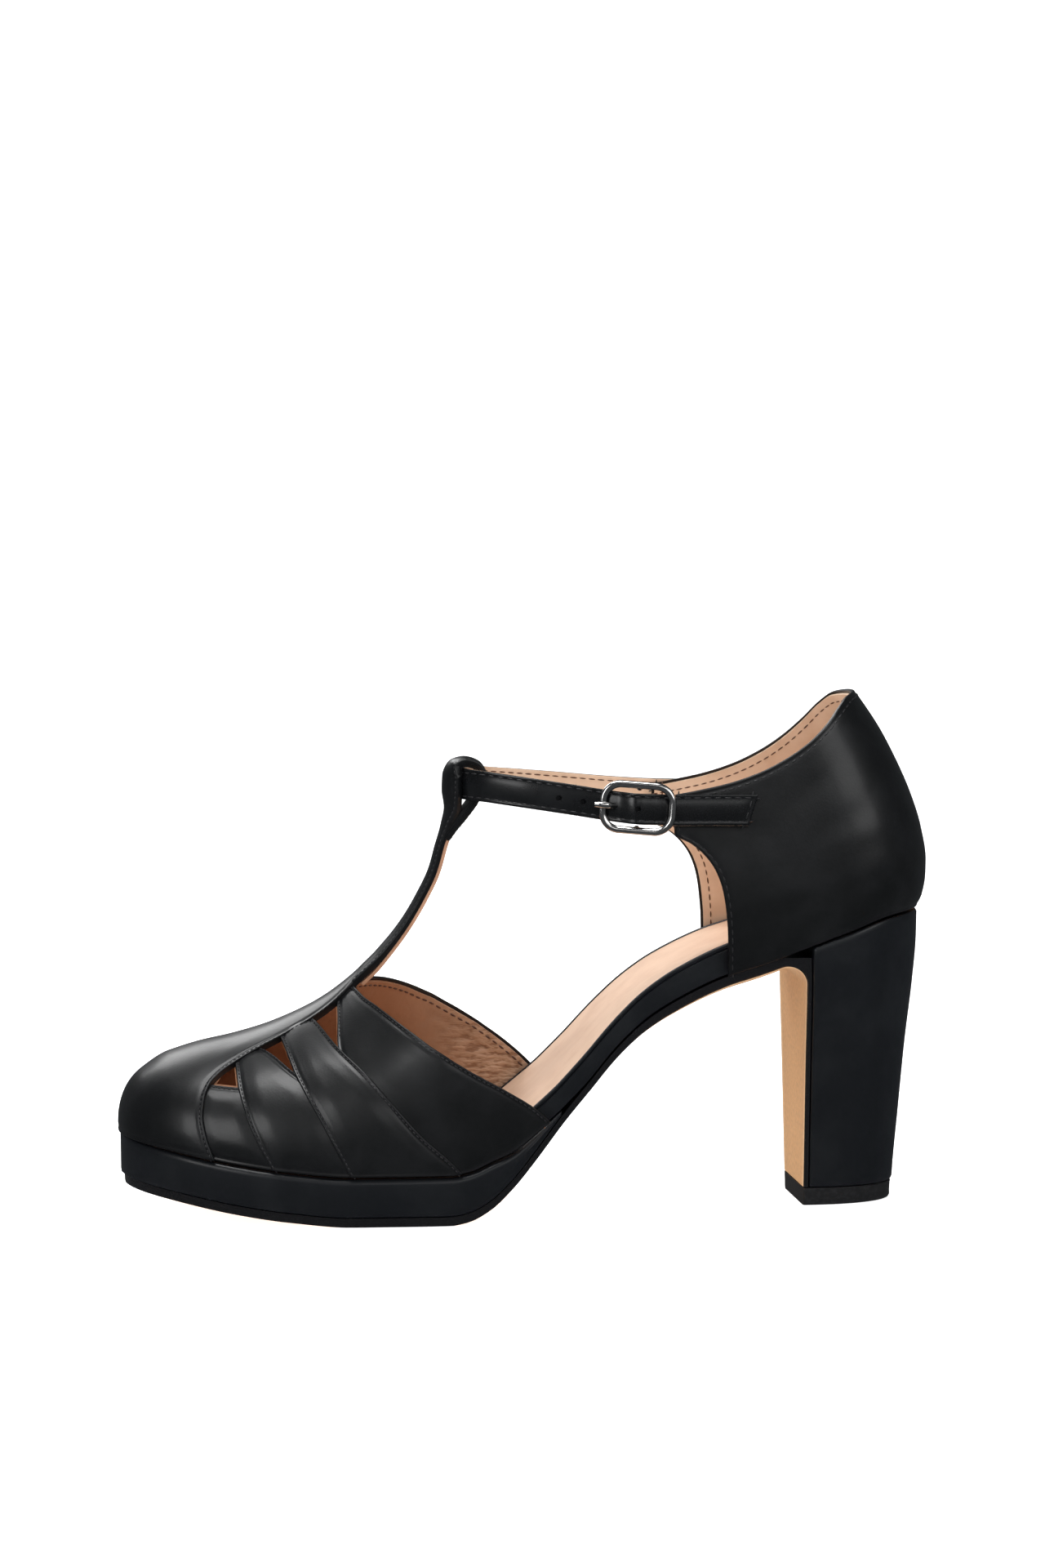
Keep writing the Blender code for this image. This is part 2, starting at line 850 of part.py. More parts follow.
def build_vamp():
    """Hollow vamp: lined wall, strips lapped over one another, toe cap with T-bar and loop."""
    topline = limit_curve(TOPLINE_OUTER, TOPLINE_INNER)
    vamp = sheet("vamp", vamp_rows(topline, 20, 25), 0.0, VAMP_WALL, PARTS, BLACK_LEATHER)
    for window in WINDOWS:
        outline = []
        for corner in window.corners:
            point = vamp_point(place(corner.along), turn_of(corner.rise))
            outline.append((point[0], point[2]))
        cutter = side_prism("window_" + window.name, outline, -BALL_WIDTH, BALL_WIDTH)
        boolean(vamp, cutter, "DIFFERENCE")
    for side in (-1, 1):
        rear = tucked(THIRD_STRIP_FRONT, STRIP_TUCK)
        rows = strip_rows(SECOND_STRIP_FRONT, rear, SECOND_STRIP_TOP, side)
        join(vamp, sheet("second_strip", rows, STRIP_STEP, LAP_DEPTH, CUTTERS))
    for side in (-1, 1):
        rows = strip_rows(THIRD_STRIP_FRONT, THIRD_STRIP_REAR, THIRD_STRIP_REAR[-1].rise, side)
        join(vamp, sheet("third_strip", rows, 2 * STRIP_STEP, LAP_DEPTH, CUTTERS))
    cap_line = limit_curve(CAP_EDGE, CAP_EDGE)
    join(vamp, sheet("toe_cap", vamp_rows(cap_line, 15, 27), CAP_STEP, LAP_DEPTH, CUTTERS))
    join(vamp, sheet("t_bar", bar_rows(), 0.0, BAR_THICKNESS, CUTTERS))
    fill_voids(vamp)
    return vamp


def quarter_rows(levels, columns):
    """Rows of the quarter, around the heel from the outer to the inner front edge."""
    front = place(QUARTER_REACH)
    rows = []
    for level in levels:
        back = quarter_back(level)
        bend = back - HEEL_ROUND
        row = []
        half = spaced(front, bend, columns // 3)[:-1]
        half += [bend + HEEL_ROUND * math.sin(t) for t in spaced(0.0, math.pi / 2, columns // 2)]
        row = [quarter_point(x, -1, level) for x in half]
        row += [quarter_point(x, 1, level) for x in reversed(half[:-1])]
        rows.append(row)
    return rows


def cut_point(row):
    """A corner of the quarter's outline in side view."""
    return (place(row.along), SEAT_RISE + OUTSOLE_THICKNESS + COUNTER_HEIGHT * row.height)


def smooth_line(points, count):
    """A smooth line through side-view points."""
    index = list(range(len(points)))
    xs = Curve(index, [p[0] for p in points])
    zs = Curve(index, [p[1] for p in points])
    return [(xs.at(s), zs.at(s)) for s in spaced(0.0, len(points) - 1.0, count)]


def build_quarter():
    """Hollow quarter wrapped round the heel, cut to the collar and the open waist."""
    rows = quarter_rows(spaced(0.0, 1.0, 13), 18)
    quarter = sheet("quarter", rows, 0.0, QUARTER_WALL, PARTS, BLACK_LEATHER)
    outline = smooth_line([cut_point(row) for row in QUARTER_FRONT], 15)
    outline += smooth_line([cut_point(row) for row in QUARTER_TOP], 22)
    outline += [(place(1.1), cut_point(QUARTER_TOP[-1])[1]), (place(1.1), cut_point(QUARTER_FRONT[0])[1])]
    cutter = side_prism("quarter_outline", outline, -BALL_WIDTH, BALL_WIDTH)
    boolean(quarter, cutter, "INTERSECT")
    return quarter


def stations(first, last):
    """x stations between two shares of the length; every sole layer shares those in its range."""
    shared = [(1 - math.cos(math.pi * t)) / 2 for t in spaced(0.0, 1.0, SOLE_STATIONS)]
    inside = [along for along in shared if first + STATION_GAP < along < last - STATION_GAP]
    return [place(along) for along in [first] + inside + [last]]


def fade(value, start, end):
    """0 before start, 1 after end, smooth between."""
    t = min(max((value - start) / (end - start), 0.0), 1.0)
    return t * t * (3 - 2 * t)


def board_inset():
    """How far the board's edge lies inside the upper's outline, clear of the quarter's wall."""
    return QUARTER_WALL + CLEARANCE - SHOE_LENGTH * SETBACK.at(0.0)


def sole_inset(x, front):
    """Inset of a sole layer: its own in front, flush with the board in the waist."""
    waist = fade(share(x), WAIST_START, WAIST_END)
    return board_inset() * waist + front * (1 - waist)


def ring(x, half, profile):
    """A cross section from pairs of inset from the edge and height, outer side then inner side."""
    points = [(min(inset, DEEPEST_INSET * half), height) for inset, height in profile]
    outer = [(x, centre(x) - half + inset, height) for inset, height in points]
    inner = [(x, centre(x) + half - inset, height) for inset, height in reversed(points)]
    return outer + inner


def front_share(inset):
    """Share of the length where a layer of this inset begins."""
    return (inset + CLEARANCE / 2) / SHOE_LENGTH


def under_side(x, half, low, hang):
    """Points of the outsole's underside from the inner to the outer edge, its middle hanging."""
    return [(x, centre(x) + half * across, low - hang * (1 - across * across)) for across in UNDERSIDE]


def sole_ring(x, half, hang):
    """Cross section of the outsole."""
    low = ground_line(x)
    top = low + OUTSOLE_THICKNESS - CLEARANCE
    edge = low + OUTSOLE_THICKNESS * OUTSOLE_EDGE
    y = centre(x)
    upper = [(x, y - half, edge), (x, y - half, top), (x, y, top), (x, y + half, top), (x, y + half, edge)]
    return upper + under_side(x, half, low, hang)


def flap_rings():
    """Cross sections of the lip and of the flap down the heel's front."""
    front = HEEL_BREAST - CLEARANCE - FLAP_THICKNESS
    middle = front - LIP_RADIUS
    slope = math.atan2(ground_line(middle) - ground_line(middle - LIP_RADIUS), LIP_RADIUS)
    start = middle - LIP_RADIUS * math.sin(slope)
    height = ground_line(start) - LIP_RADIUS * math.cos(slope)
    corner = (HEEL_BREAST - CLEARANCE, ground_line(start) + OUTSOLE_THICKNESS - CLEARANCE)
    rings = []
    for step in spaced(0.0, 1.0, 7)[1:]:
        heading = slope - (slope + math.pi / 2) * step
        under = (middle - LIP_RADIUS * math.sin(heading), height + LIP_RADIUS * math.cos(heading))
        if step <= 0.5:
            over = (start + (corner[0] - start) * 2 * step, corner[1])
        else:
            over = (corner[0], corner[1] + (height - corner[1]) * (2 * step - 1))
        half = heel_width(under[1] / SEAT_RISE) - CLEARANCE
        waist = outline_width(start, board_inset())
        rings.append((over, under, waist + (half - waist) * step, WAIST_CROWN * (1 - step)))
    bottom = TOP_PIECE_HEIGHT + CLEARANCE
    for level in spaced(height, bottom, 6)[1:]:
        half = heel_width(level / SEAT_RISE) - CLEARANCE
        rings.append(((corner[0], level), (front, level), half, 0.0))
    return start, rings


def flap_ring(over, under, half, hang):
    """One cross section of the flap, its face bowed by what is left of the crown."""
    y = centre(HEEL_BREAST)
    edge = (under[0] + (over[0] - under[0]) * OUTSOLE_EDGE, under[1] + (over[1] - under[1]) * OUTSOLE_EDGE)
    back = [(edge[0], y - half, edge[1])]
    back += [(over[0], y + half * across, over[1]) for across in (-1, 0, 1)]
    back += [(edge[0], y + half, edge[1])]
    face = [(under[0], y + half * across, under[1] - hang * (1 - across * across)) for across in UNDERSIDE]
    return back + face


def build_outsole():
    """Outsole in one piece with the flap that runs down the heel's front."""
    start, flap = flap_rings()
    inset = OUTSOLE_INSET - PLATFORM_OVERHANG
    rings = []
    for x in stations(front_share(inset), share(start)):
        hang = WAIST_CROWN * fade(share(x), WAIST_START, WAIST_END)
        rings.append(sole_ring(x, outline_width(x, sole_inset(x, inset)), hang))
    rings += [flap_ring(*row) for row in flap]
    return new_object("outsole", loft("outsole", rings), PARTS, BLACK_EDGE)


def build_platform():
    """Wrapped platform under the forepart, its top edge rounded."""
    rings = []
    for x in stations(front_share(-PLATFORM_OVERHANG), PLATFORM_END):
        low = ground_line(x) + OUTSOLE_THICKNESS
        high = feather_line(x)
        soft = min(PLATFORM_EDGE_ROUND, PLATFORM_ROUND_LIMIT * (high - low))
        shoulder = ROUND_SHOULDER * soft
        profile = [(WRAPPED_CORNER, low), (0.0, low + shoulder), (0.0, high - soft)]
        profile += [(shoulder, high - shoulder), (soft, high), (soft + BALL_WIDTH * PLATFORM_TOP_FLAT, high)]
        rings.append(ring(x, outline_width(x, sole_inset(x, -PLATFORM_OVERHANG)), profile))
    return new_object("platform", loft("platform", rings), PARTS, BLACK_LEATHER)


def board_stations():
    """x stations of the insole board, which the sock lining shares."""
    return stations(front_share(board_inset()), 1 - front_share(board_inset()))


def build_board():
    """Wrapped insole board, seen as the black band of the open waist, with a raised rim."""
    rings = []
    for x in board_stations():
        high = bed_line(x)
        floor = high - SOCK_THICKNESS - 2 * CLEARANCE
        low = feather_line(x) + CLEARANCE
        profile = [(WRAPPED_CORNER, low), (0.0, low + WRAPPED_CORNER), (0.0, high - WRAPPED_CORNER)]
        profile += [(WRAPPED_CORNER, high)]
        profile += [(RIM_WIDTH, high), (RIM_WIDTH, floor)]
        rings.append(ring(x, outline_width(x, board_inset()), profile))
    return new_object("insole_board", loft("insole_board", rings), PARTS, BLACK_LEATHER)


def build_sock():
    """Beige sock lining laid in the board's rim."""
    inset = board_inset() + RIM_WIDTH + CLEARANCE
    rings = []
    for x in board_stations():
        if outline_width(x, inset) < 3 * RIM_WIDTH:
            continue
        high = bed_line(x) - CLEARANCE
        profile = [(0.0, high - SOCK_THICKNESS), (0.0, high - WRAPPED_CORNER), (WRAPPED_CORNER, high)]
        rings.append(ring(x, outline_width(x, inset), profile))
    return new_object("sock_lining", loft("sock_lining", rings), PARTS, BEIGE_SOCK)


def heel_width(level):
    """Half width of the heel at a level from the floor to the seat."""
    return (HEEL_TIP_WIDTH + (SEAT_WIDTH - HEEL_TIP_WIDTH) * HEEL_WIDTH.at(level)) / 2


def heel_back(level):
    """x of the heel's back at a level."""
    return HEEL_TIP_BACK + (HEEL_TOP_BACK - HEEL_TIP_BACK) * HEEL_BACK.at(level)


def heel_ring(front, level, inset, height):
    """A D-shaped level of the heel; height gives z for each x."""
    back = heel_back(level) - inset
    half = heel_width(level) - inset
    bend = (back - front) * HEEL_BEND
    xs = [front, front + HEEL_CORNER] + [back - bend * (1 - math.sin(t)) for t in spaced(0.0, math.pi / 2, 9)]
    side = []
    for x in xs:
        corner = HEEL_CORNER if x == front else 0.0
        side.append((x, half * round_end((back - x) / bend, HEEL_BLUNTNESS) - corner, height(x)))
    y = centre(HEEL_BREAST)
    outer = [(x, y - across, z) for x, across, z in side]
    inner = [(x, y + across, z) for x, across, z in reversed(side[:-1])]
    return outer + inner


def build_heel():
    """Wrapped block heel, its top sloped to the seat."""
    base = TOP_PIECE_HEIGHT + CLEARANCE
    rings = []
    for rise in spaced(0.0, 1.0, 10):
        def height(x, rise=rise):
            """z of this level at x."""
            return base + (feather_line(x) - 2 * CLEARANCE - base) * rise
        level = (base + (SEAT_RISE - base) * rise) / SEAT_RISE
        rings.append(heel_ring(HEEL_BREAST, level, 0.0, height))
    return new_object("heel", loft("heel", rings), PARTS, BLACK_LEATHER)


def build_top_piece():
    """Rubber top piece under the heel and its flap."""
    front = HEEL_BREAST - CLEARANCE - FLAP_THICKNESS
    rings = []
    side = TOP_PIECE_INSET
    for height, inset in ((0.0, 2 * side), (side, side), (TOP_PIECE_HEIGHT, side)):
        rings.append(heel_ring(front, height / SEAT_RISE, inset, lambda x, z=height: z))
    return new_object("top_piece", loft("top_piece", rings), PARTS, BLACK_RUBBER)


def quarter_side(x, z):
    """Half width of the quarter's outer face at a height, from the shoe's middle."""
    bottom = feather_line(x)
    level = (z - bottom) / (SEAT_RISE + OUTSOLE_THICKNESS + COUNTER_HEIGHT - bottom)
    return abs(quarter_point(x, 1, level)[1] - centre(x))


def strap_x(back):
    """x of a share of the way from the strap's front to the ear."""
    return STRAP_FRONT + (EAR_END - STRAP_FRONT) * back


def strap_middle(back, rows):
    """Middle of the strap at a station: x, y, z and lift."""
    across = column(rows, "back", "across").at(back) * SEAT_WIDTH / 2
    drop = column(rows, "back", "drop").at(back)
    height = STRAP_FRONT_HEIGHT + (STRAP_EAR_HEIGHT - STRAP_FRONT_HEIGHT) * drop
    return strap_x(back), across, height, column(rows, "back", "lift").at(back) * STRAP_LIFT


def strap_stations():
    """Middle points of the strap from the inner ear round the front to the outer tip."""
    inner = [strap_middle(row.back, STRAP_INNER) for row in STRAP_INNER]
    outer = [strap_middle(row.back, STRAP_OUTER) for row in STRAP_OUTER]
    return inner + outer


def strap_curves():
    """Smooth x, y, z and lift along the strap's stations."""
    middle = strap_stations()
    index = list(range(len(middle)))
    return [Curve(index, [point[k] for point in middle]) for k in range(4)]


def strap_row(curves, s, count):
    """One upright row of the strap's middle surface."""
    x, y, z, lift = [curve.at(s) for curve in curves]
    ahead = [curve.at(s + 0.05) - curve.at(s - 0.05) for curve in curves[:2]]
    size = math.hypot(*ahead)
    outward = (ahead[1] / size, -ahead[0] / size)
    last = len(STRAP_INNER) + len(STRAP_OUTER) - 1
    row = []
    for up in spaced(-STRAP_WIDTH / 2, STRAP_WIDTH / 2, count):
        slant = TIP_SLANT * up * fade(s, last - 1.0, last)
        across = y - STRAP_LEAN * up * y / (SEAT_WIDTH / 2)
        seat = 0.0
        if x > EAR_END - SEAT_START:
            seat = quarter_side(x, z + up) + CLEARANCE + STRAP_THICKNESS / 2
        if abs(across) < seat:
            across = math.copysign(seat, across)
        row.append((x + outward[0] * lift + slant, centre(x) + across + outward[1] * lift, z + up))
    return row


def build_strap():
    """Ankle strap from the inner ear through the loop and the buckle to its free tip."""
    curves = strap_curves()
    count = len(STRAP_INNER) + len(STRAP_OUTER)
    rows = [strap_row(curves, s, 3) for s in spaced(0.0, count - 1.0, 4 * (count - 1) + 1)]
    half = STRAP_THICKNESS / 2
    strap = sheet("ankle_strap", rows, half, half, PARTS, BLACK_LEATHER)
    for i, back in enumerate(STRAP_HOLES):
        x, y, z, lift = strap_middle(back, STRAP_OUTER)
        bpy.ops.mesh.primitive_cylinder_add(
            vertices=12, radius=HOLE_WIDTH / 2, depth=4 * STRAP_THICKNESS + STRAP_LIFT,
            location=(x, centre(x) + y - lift, z), rotation=(math.pi / 2, 0.0, 0.0),
        )
        boolean(strap, take_cutter(f"strap_hole_{i + 1}"), "DIFFERENCE")
    boolean(strap, prong_clearance(), "DIFFERENCE")
    return strap


def take_cutter(name):
    """Moves the active object to the cutters."""
    cutter = bpy.context.active_object
    cutter.name = name
    for group in list(cutter.users_collection):
        group.objects.unlink(cutter)
    CUTTERS.objects.link(cutter)
    cutter.hide_render = True
    cutter.display_type = "WIRE"
    return cutter


def buckle_frame_axes():
    """Origin and axes of the buckle's plane: along, out and up."""
    back = (BUCKLE_PLACE - STRAP_FRONT) / (EAR_END - STRAP_FRONT)
    reach = BUCKLE_LENGTH / 2 / (EAR_END - STRAP_FRONT)
    here, near, far = [strap_middle(b, STRAP_OUTER) for b in (back, back - reach, back + reach)]
    origin = Vector((here[0], centre(here[0]) + here[1], here[2]))
    along = Vector((far[0] - near[0], far[1] - near[1], far[2] - near[2])).normalized()
    out = Vector((along.y, -along.x, -STRAP_LEAN * here[1] / (SEAT_WIDTH / 2))).normalized()
    out = (out - along * out.dot(along)).normalized()
    up = out.cross(along)
    if up.z < 0:
        up = -up
    return origin, along, out, up


def buckle_point(along, out, up):
    """A point given in the buckle's plane."""
    origin, u, n, w = BUCKLE_AXES
    return tuple(origin + u * along + n * out + w * up)


def wire(name, points, radius, shares, cyclic, group, material=None):
    """A round wire through points, its radius scaled by a share at each."""
    data = bpy.data.curves.new(name, "CURVE")
    data.dimensions = "3D"
    data.bevel_depth = radius
    data.bevel_resolution = 2
    data.use_fill_caps = True
    spline = data.splines.new("POLY")
    spline.points.add(len(points) - 1)
    for knot, point, scale in zip(spline.points, points, shares):
        knot.co = (*point, 1.0)
        knot.radius = scale
    spline.use_cyclic_u = cyclic
    guide = bpy.data.objects.new(name + "_guide", data)
    group.objects.link(guide)
    bpy.context.view_layer.update()
    graph = bpy.context.evaluated_depsgraph_get()
    bm = bmesh.new()
    bm.from_mesh(bpy.data.meshes.new_from_object(guide.evaluated_get(graph)))
    clean(bm)
    bpy.data.objects.remove(guide, do_unlink=True)
    return new_object(name, mesh_of(name, bm), group, material)


def corner_arc(centre_along, centre_up, start, count):
    """Points of a rounded corner in the buckle's plane."""
    radius = BUCKLE_CORNER - BUCKLE_WIRE
    return [
        (centre_along + radius * math.cos(a), centre_up + radius * math.sin(a))
        for a in spaced(start, start + math.pi / 2, count)
    ]


def build_buckle_frame():
    """Rounded wire frame with its centre bar."""
    reach = BUCKLE_LENGTH / 2 - BUCKLE_CORNER
    rise = BUCKLE_WIDTH / 2 - BUCKLE_CORNER
    outline = []
    for sign_along, sign_up, start in ((1, 1, 0.0), (-1, 1, 0.5), (-1, -1, 1.0), (1, -1, 1.5)):
        outline += corner_arc(sign_along * reach, sign_up * rise, start * math.pi, 7)
    points = [buckle_point(a, BUCKLE_OUT, u) for a, u in outline]
    frame = wire("buckle_frame", points, BUCKLE_WIRE, [1.0] * len(points), True, PARTS, POLISHED_STEEL)
    top = BUCKLE_WIDTH / 2 - BUCKLE_WIRE
    low = top - BAR_CRANK
    run = [(-top, BUCKLE_OUT), (-low, BAR_OUT), (low, BAR_OUT), (top, BUCKLE_OUT)]
    bar = wire("centre_bar", [buckle_point(0.0, o, u) for u, o in run], BAR_WIRE, [1.0] * 4, False, CUTTERS)
    return join(frame, bar)


def prong_path():
    """Prong: an eye round the centre bar, then out through the strap and over the frame."""
    radius = BAR_WIRE + CLEARANCE + PRONG_WIRE * PRONG_EYE
    points = []
    shares = []
    for turn in spaced(math.radians(130), math.radians(-130), 12):
        points.append(buckle_point(radius * math.cos(turn), BAR_OUT + radius * math.sin(turn), 0.0))
        shares.append(PRONG_EYE)
    for row in PRONG:
        points.append(buckle_point(row.along, row.out, 0.0))
        shares.append(row.wire)
    return points, shares


def build_prong():
    """The buckle's prong."""
    points, shares = prong_path()
    return wire("buckle_prong", points, PRONG_WIRE, shares, False, PARTS, POLISHED_STEEL)


def prong_clearance():
    """Cutter for the hole that the prong passes through."""
    points, shares = prong_path()
    fat = (PRONG_WIRE + CLEARANCE) / PRONG_WIRE
    first = len(points) - len(PRONG)
    return wire("prong_hole", points[first:], PRONG_WIRE * fat, shares[first:], False, CUTTERS)


def strap_sag(along):
    """How far the strap's unlifted middle lies from the buckle's plane, a distance along it."""
    origin, u, n, w = BUCKLE_AXES
    back = (origin.x + along * u.x - STRAP_FRONT) / (EAR_END - STRAP_FRONT)
    x, y, z, _ = strap_middle(back, STRAP_OUTER)
    return (Vector((x, centre(x) + y, z)) - origin).dot(n)


def build_tab():
    """Leather tab that runs from the quarter's ear round the centre bar."""
    outline = [(p.along, p.out) for p in TAB_OUTER]
    outline += [
        (TAB_WRAP * math.cos(t), BAR_OUT + TAB_WRAP * math.sin(t))
        for t in spaced(math.radians(85), math.radians(275), 10)
    ]
    outline += [(p.along, p.out) for p in TAB_INNER]
    rings = []
    for up in (-TAB_WIDTH / 2, TAB_WIDTH / 2):
        rings.append([buckle_point(a, o + (strap_sag(a) if a > TAB_BEND else 0.0), up) for a, o in outline])
    tab = new_object("buckle_tab", loft("buckle_tab", rings), PARTS, BLACK_LEATHER)
    ends = [buckle_point(0.0, BAR_OUT, up) for up in (-TAB_WIDTH, TAB_WIDTH)]
    boolean(tab, wire("bar_hole", ends, BAR_WIRE + CLEARANCE, [1.0, 1.0], False, CUTTERS), "DIFFERENCE")
    slot = PRONG_WIRE * PRONG_EYE + 2 * CLEARANCE
    corners = ((-1.0, -1.0), (SLOT_BACK, -1.0), (SLOT_BACK, 1.0), (-1.0, 1.0))
    rings = [[buckle_point(a * SLOT_REACH, o * SLOT_REACH, up) for a, o in corners] for up in (-slot, slot)]
    boolean(tab, new_object("prong_slot", loft("prong_slot", rings), CUTTERS), "DIFFERENCE")
    return tab


HEEL_WIDTH = column(HEEL, "level", "width")
HEEL_BACK = column(HEEL, "level", "back")
BUCKLE_AXES = buckle_frame_axes()


def main():
    """Builds every part of the shoe and shades it smooth."""
    build_vamp()
    build_quarter()
    build_outsole()
    build_platform()
    build_board()
    build_sock()
    build_heel()
    build_top_piece()
    build_strap()
    build_buckle_frame()
    build_prong()
    build_tab()
    for obj in PARTS.objects:
        obj.data.shade_smooth()
        obj.data.set_sharp_from_angle(angle=math.radians(35))


main()
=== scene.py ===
"""Dresses the T-strap shoe: leather panels, linings, stitches, sock, sole edges, heel, strap and buckle.

Metres, +Z up. The toe points to -X, the buckle (outer) side faces -Y, and the floor is z = 0.
"""

import logging
import math
from dataclasses import dataclass, field
from enum import Enum
from typing import Any, Callable, Optional, Sequence, Union

import bmesh
import bpy
import numpy as np
from mathutils import Matrix, Vector, kdtree


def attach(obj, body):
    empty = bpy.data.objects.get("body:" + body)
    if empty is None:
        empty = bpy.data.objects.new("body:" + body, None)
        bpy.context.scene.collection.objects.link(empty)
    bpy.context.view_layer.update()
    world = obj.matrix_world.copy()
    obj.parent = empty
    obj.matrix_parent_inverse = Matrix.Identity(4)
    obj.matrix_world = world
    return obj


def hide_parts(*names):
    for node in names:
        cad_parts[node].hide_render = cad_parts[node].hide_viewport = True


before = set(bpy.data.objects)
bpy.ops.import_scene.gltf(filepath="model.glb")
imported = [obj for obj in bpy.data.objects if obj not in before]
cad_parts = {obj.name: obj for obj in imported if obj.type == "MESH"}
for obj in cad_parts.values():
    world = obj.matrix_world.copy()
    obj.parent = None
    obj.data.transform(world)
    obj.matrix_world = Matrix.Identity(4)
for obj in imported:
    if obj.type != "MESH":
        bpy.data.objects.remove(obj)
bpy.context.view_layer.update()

Array = np.ndarray
Material = bpy.types.Material
Piece = bpy.types.Object

LOG = logging.getLogger("t_strap_shoe")
logging.basicConfig(level=logging.INFO, format="%(name)s: %(message)s")

# Length and widths of the last, at the edge where the upper meets the sole
SHOE_LENGTH = 0.226
BALL_WIDTH = 0.0762
WAIST_WIDTH = 0.0555
SEAT_WIDTH = 0.0550
TOE_ROUND = 0.046
HEEL_ROUND = 0.027
TOE_BLUNTNESS = 2.35
HEEL_BLUNTNESS = 2.15
TOE_TIP = -0.1135

# Heights of the sole's layers
SEAT_RISE = 0.0802
TOE_SPRING = 0.0090
OUTSOLE_THICKNESS = 0.0029
PLATFORM_HEIGHT = 0.0109
BOARD_THICKNESS = 0.0089
SOCK_THICKNESS = 0.0012
RIM_WIDTH = 0.0014
WAIST_CROWN = 0.0034
PLATFORM_EDGE_ROUND = 0.0022
PLATFORM_OVERHANG = 0.0006

# Upper
THROAT_RISE = 0.0502
TOE_BOX_ROUND = 0.0140
VAMP_WALL = 0.0015
BAR_HALF_WIDTH = 0.0050
LOOP_HALF_WIDTH = 0.0068
BAR_BOW = 0.22
QUARTER_WALL = 0.0020
COUNTER_HEIGHT = 0.0630

# Heel
HEEL_BREAST = 0.0782
HEEL_TIP_BACK = 0.1042
HEEL_TOP_BACK = 0.1116
HEEL_TIP_WIDTH = 0.0345
FLAP_THICKNESS = 0.0012
TOP_PIECE_HEIGHT = 0.0050

# Ankle strap and buckle
STRAP_WIDTH = 0.0085
STRAP_THICKNESS = 0.0018
STRAP_FRONT = -0.0175
STRAP_FRONT_HEIGHT = 0.1196
STRAP_EAR_HEIGHT = 0.1127
HOLE_WIDTH = 0.0016
BUCKLE_PLACE = 0.0294
BUCKLE_LENGTH = 0.0212
BUCKLE_WIDTH = 0.0146
BUCKLE_WIRE = 0.00095
BAR_WIRE = 0.0008
PRONG_WIRE = 0.0009
EAR_END = 0.0395

CLEARANCE = 0.0003


def rows_of(kind: Callable, *rows: Sequence[float]) -> list:
    """The rows of a table, each as its own kind of row."""
    return [kind(*row) for row in rows]


# Sole in side view: along is the share of the length from the toe
@dataclass(frozen=True)
class SoleRow:
    """One station of the sole; its heights are shares of the named sizes."""

    along: float
    spring: float
    arch: float
    platform: float
    board: float


SOLE = rows_of(
    SoleRow,
    (0.000, 1.00, 0.000, 1.00, 0.34),
    (0.060, 0.72, 0.000, 1.00, 0.34),
    (0.130, 0.38, 0.000, 1.00, 0.34),
    (0.200, 0.14, 0.000, 1.00, 0.34),
    (0.270, 0.00, 0.000, 1.00, 0.34),
    (0.330, 0.00, 0.000, 1.00, 0.36),
    (0.392, 0.00, 0.000, 1.00, 0.45),
    (0.414, 0.00, 0.010, 0.99, 0.64),
    (0.440, 0.00, 0.045, 0.94, 0.78),
    (0.471, 0.00, 0.122, 0.66, 0.84),
    (0.502, 0.00, 0.222, 0.40, 0.88),
    (0.537, 0.00, 0.343, 0.10, 0.95),
    (0.571, 0.00, 0.451, 0.00, 1.00),
    (0.604, 0.00, 0.555, 0.00, 0.96),
    (0.641, 0.00, 0.646, 0.00, 0.97),
    (0.676, 0.00, 0.707, 0.00, 1.00),
    (0.741, 0.00, 0.790, 0.00, 1.01),
    (0.793, 0.00, 0.834, 0.00, 1.02),
    (0.842, 0.00, 0.883, 0.00, 0.90),
    (0.895, 0.00, 0.936, 0.00, 0.67),
    (0.950, 0.00, 0.985, 0.00, 0.47),
    (1.000, 0.00, 1.000, 0.00, 0.46),
)


# Plan outline: ball, waist and seat are shares of those half widths, added together
@dataclass(frozen=True)
class PlanRow:
    """One station of the outline seen from above; shift is a share of the ball width."""

    along: float
    ball: float
    waist: float
    seat: float
    shift: float


PLAN = rows_of(
    PlanRow,
    (0.00, 0.88, 0.00, 0.00, 0.045),
    (0.10, 0.90, 0.00, 0.00, 0.042),
    (0.20, 0.965, 0.00, 0.00, 0.024),
    (0.29, 1.00, 0.00, 0.00, 0.002),
    (0.36, 0.995, 0.00, 0.00, -0.014),
    (0.43, 0.93, 0.02, 0.00, -0.030),
    (0.50, 0.50, 0.53, 0.00, -0.036),
    (0.57, 0.12, 0.93, 0.00, -0.032),
    (0.65, 0.00, 1.00, 0.00, -0.022),
    (0.73, 0.00, 0.80, 0.19, -0.012),
    (0.81, 0.00, 0.20, 0.79, -0.005),
    (0.90, 0.00, 0.00, 1.01, 0.000),
    (1.00, 0.00, 0.00, 1.00, 0.000),
)


# Vamp sections: rise is a share of the throat rise, peak pinches the ridge
@dataclass(frozen=True)
class VampRow:
    """One cross section of the last under the vamp."""

    along: float
    rise: float
    peak: float


VAMP = rows_of(
    VampRow,
    (0.000, 0.37, 0.00), (0.030, 0.395, 0.00), (0.062, 0.470, 0.02),
    (0.100, 0.555, 0.06), (0.145, 0.635, 0.12), (0.190, 0.725, 0.22),
    (0.240, 0.850, 0.33), (0.286, 1.000, 0.40), (0.327, 1.180, 0.42),
    (0.369, 1.455, 0.42), (0.402, 1.840, 0.40), (0.460, 2.400, 0.30),
    (0.550, 2.900, 0.20),
)


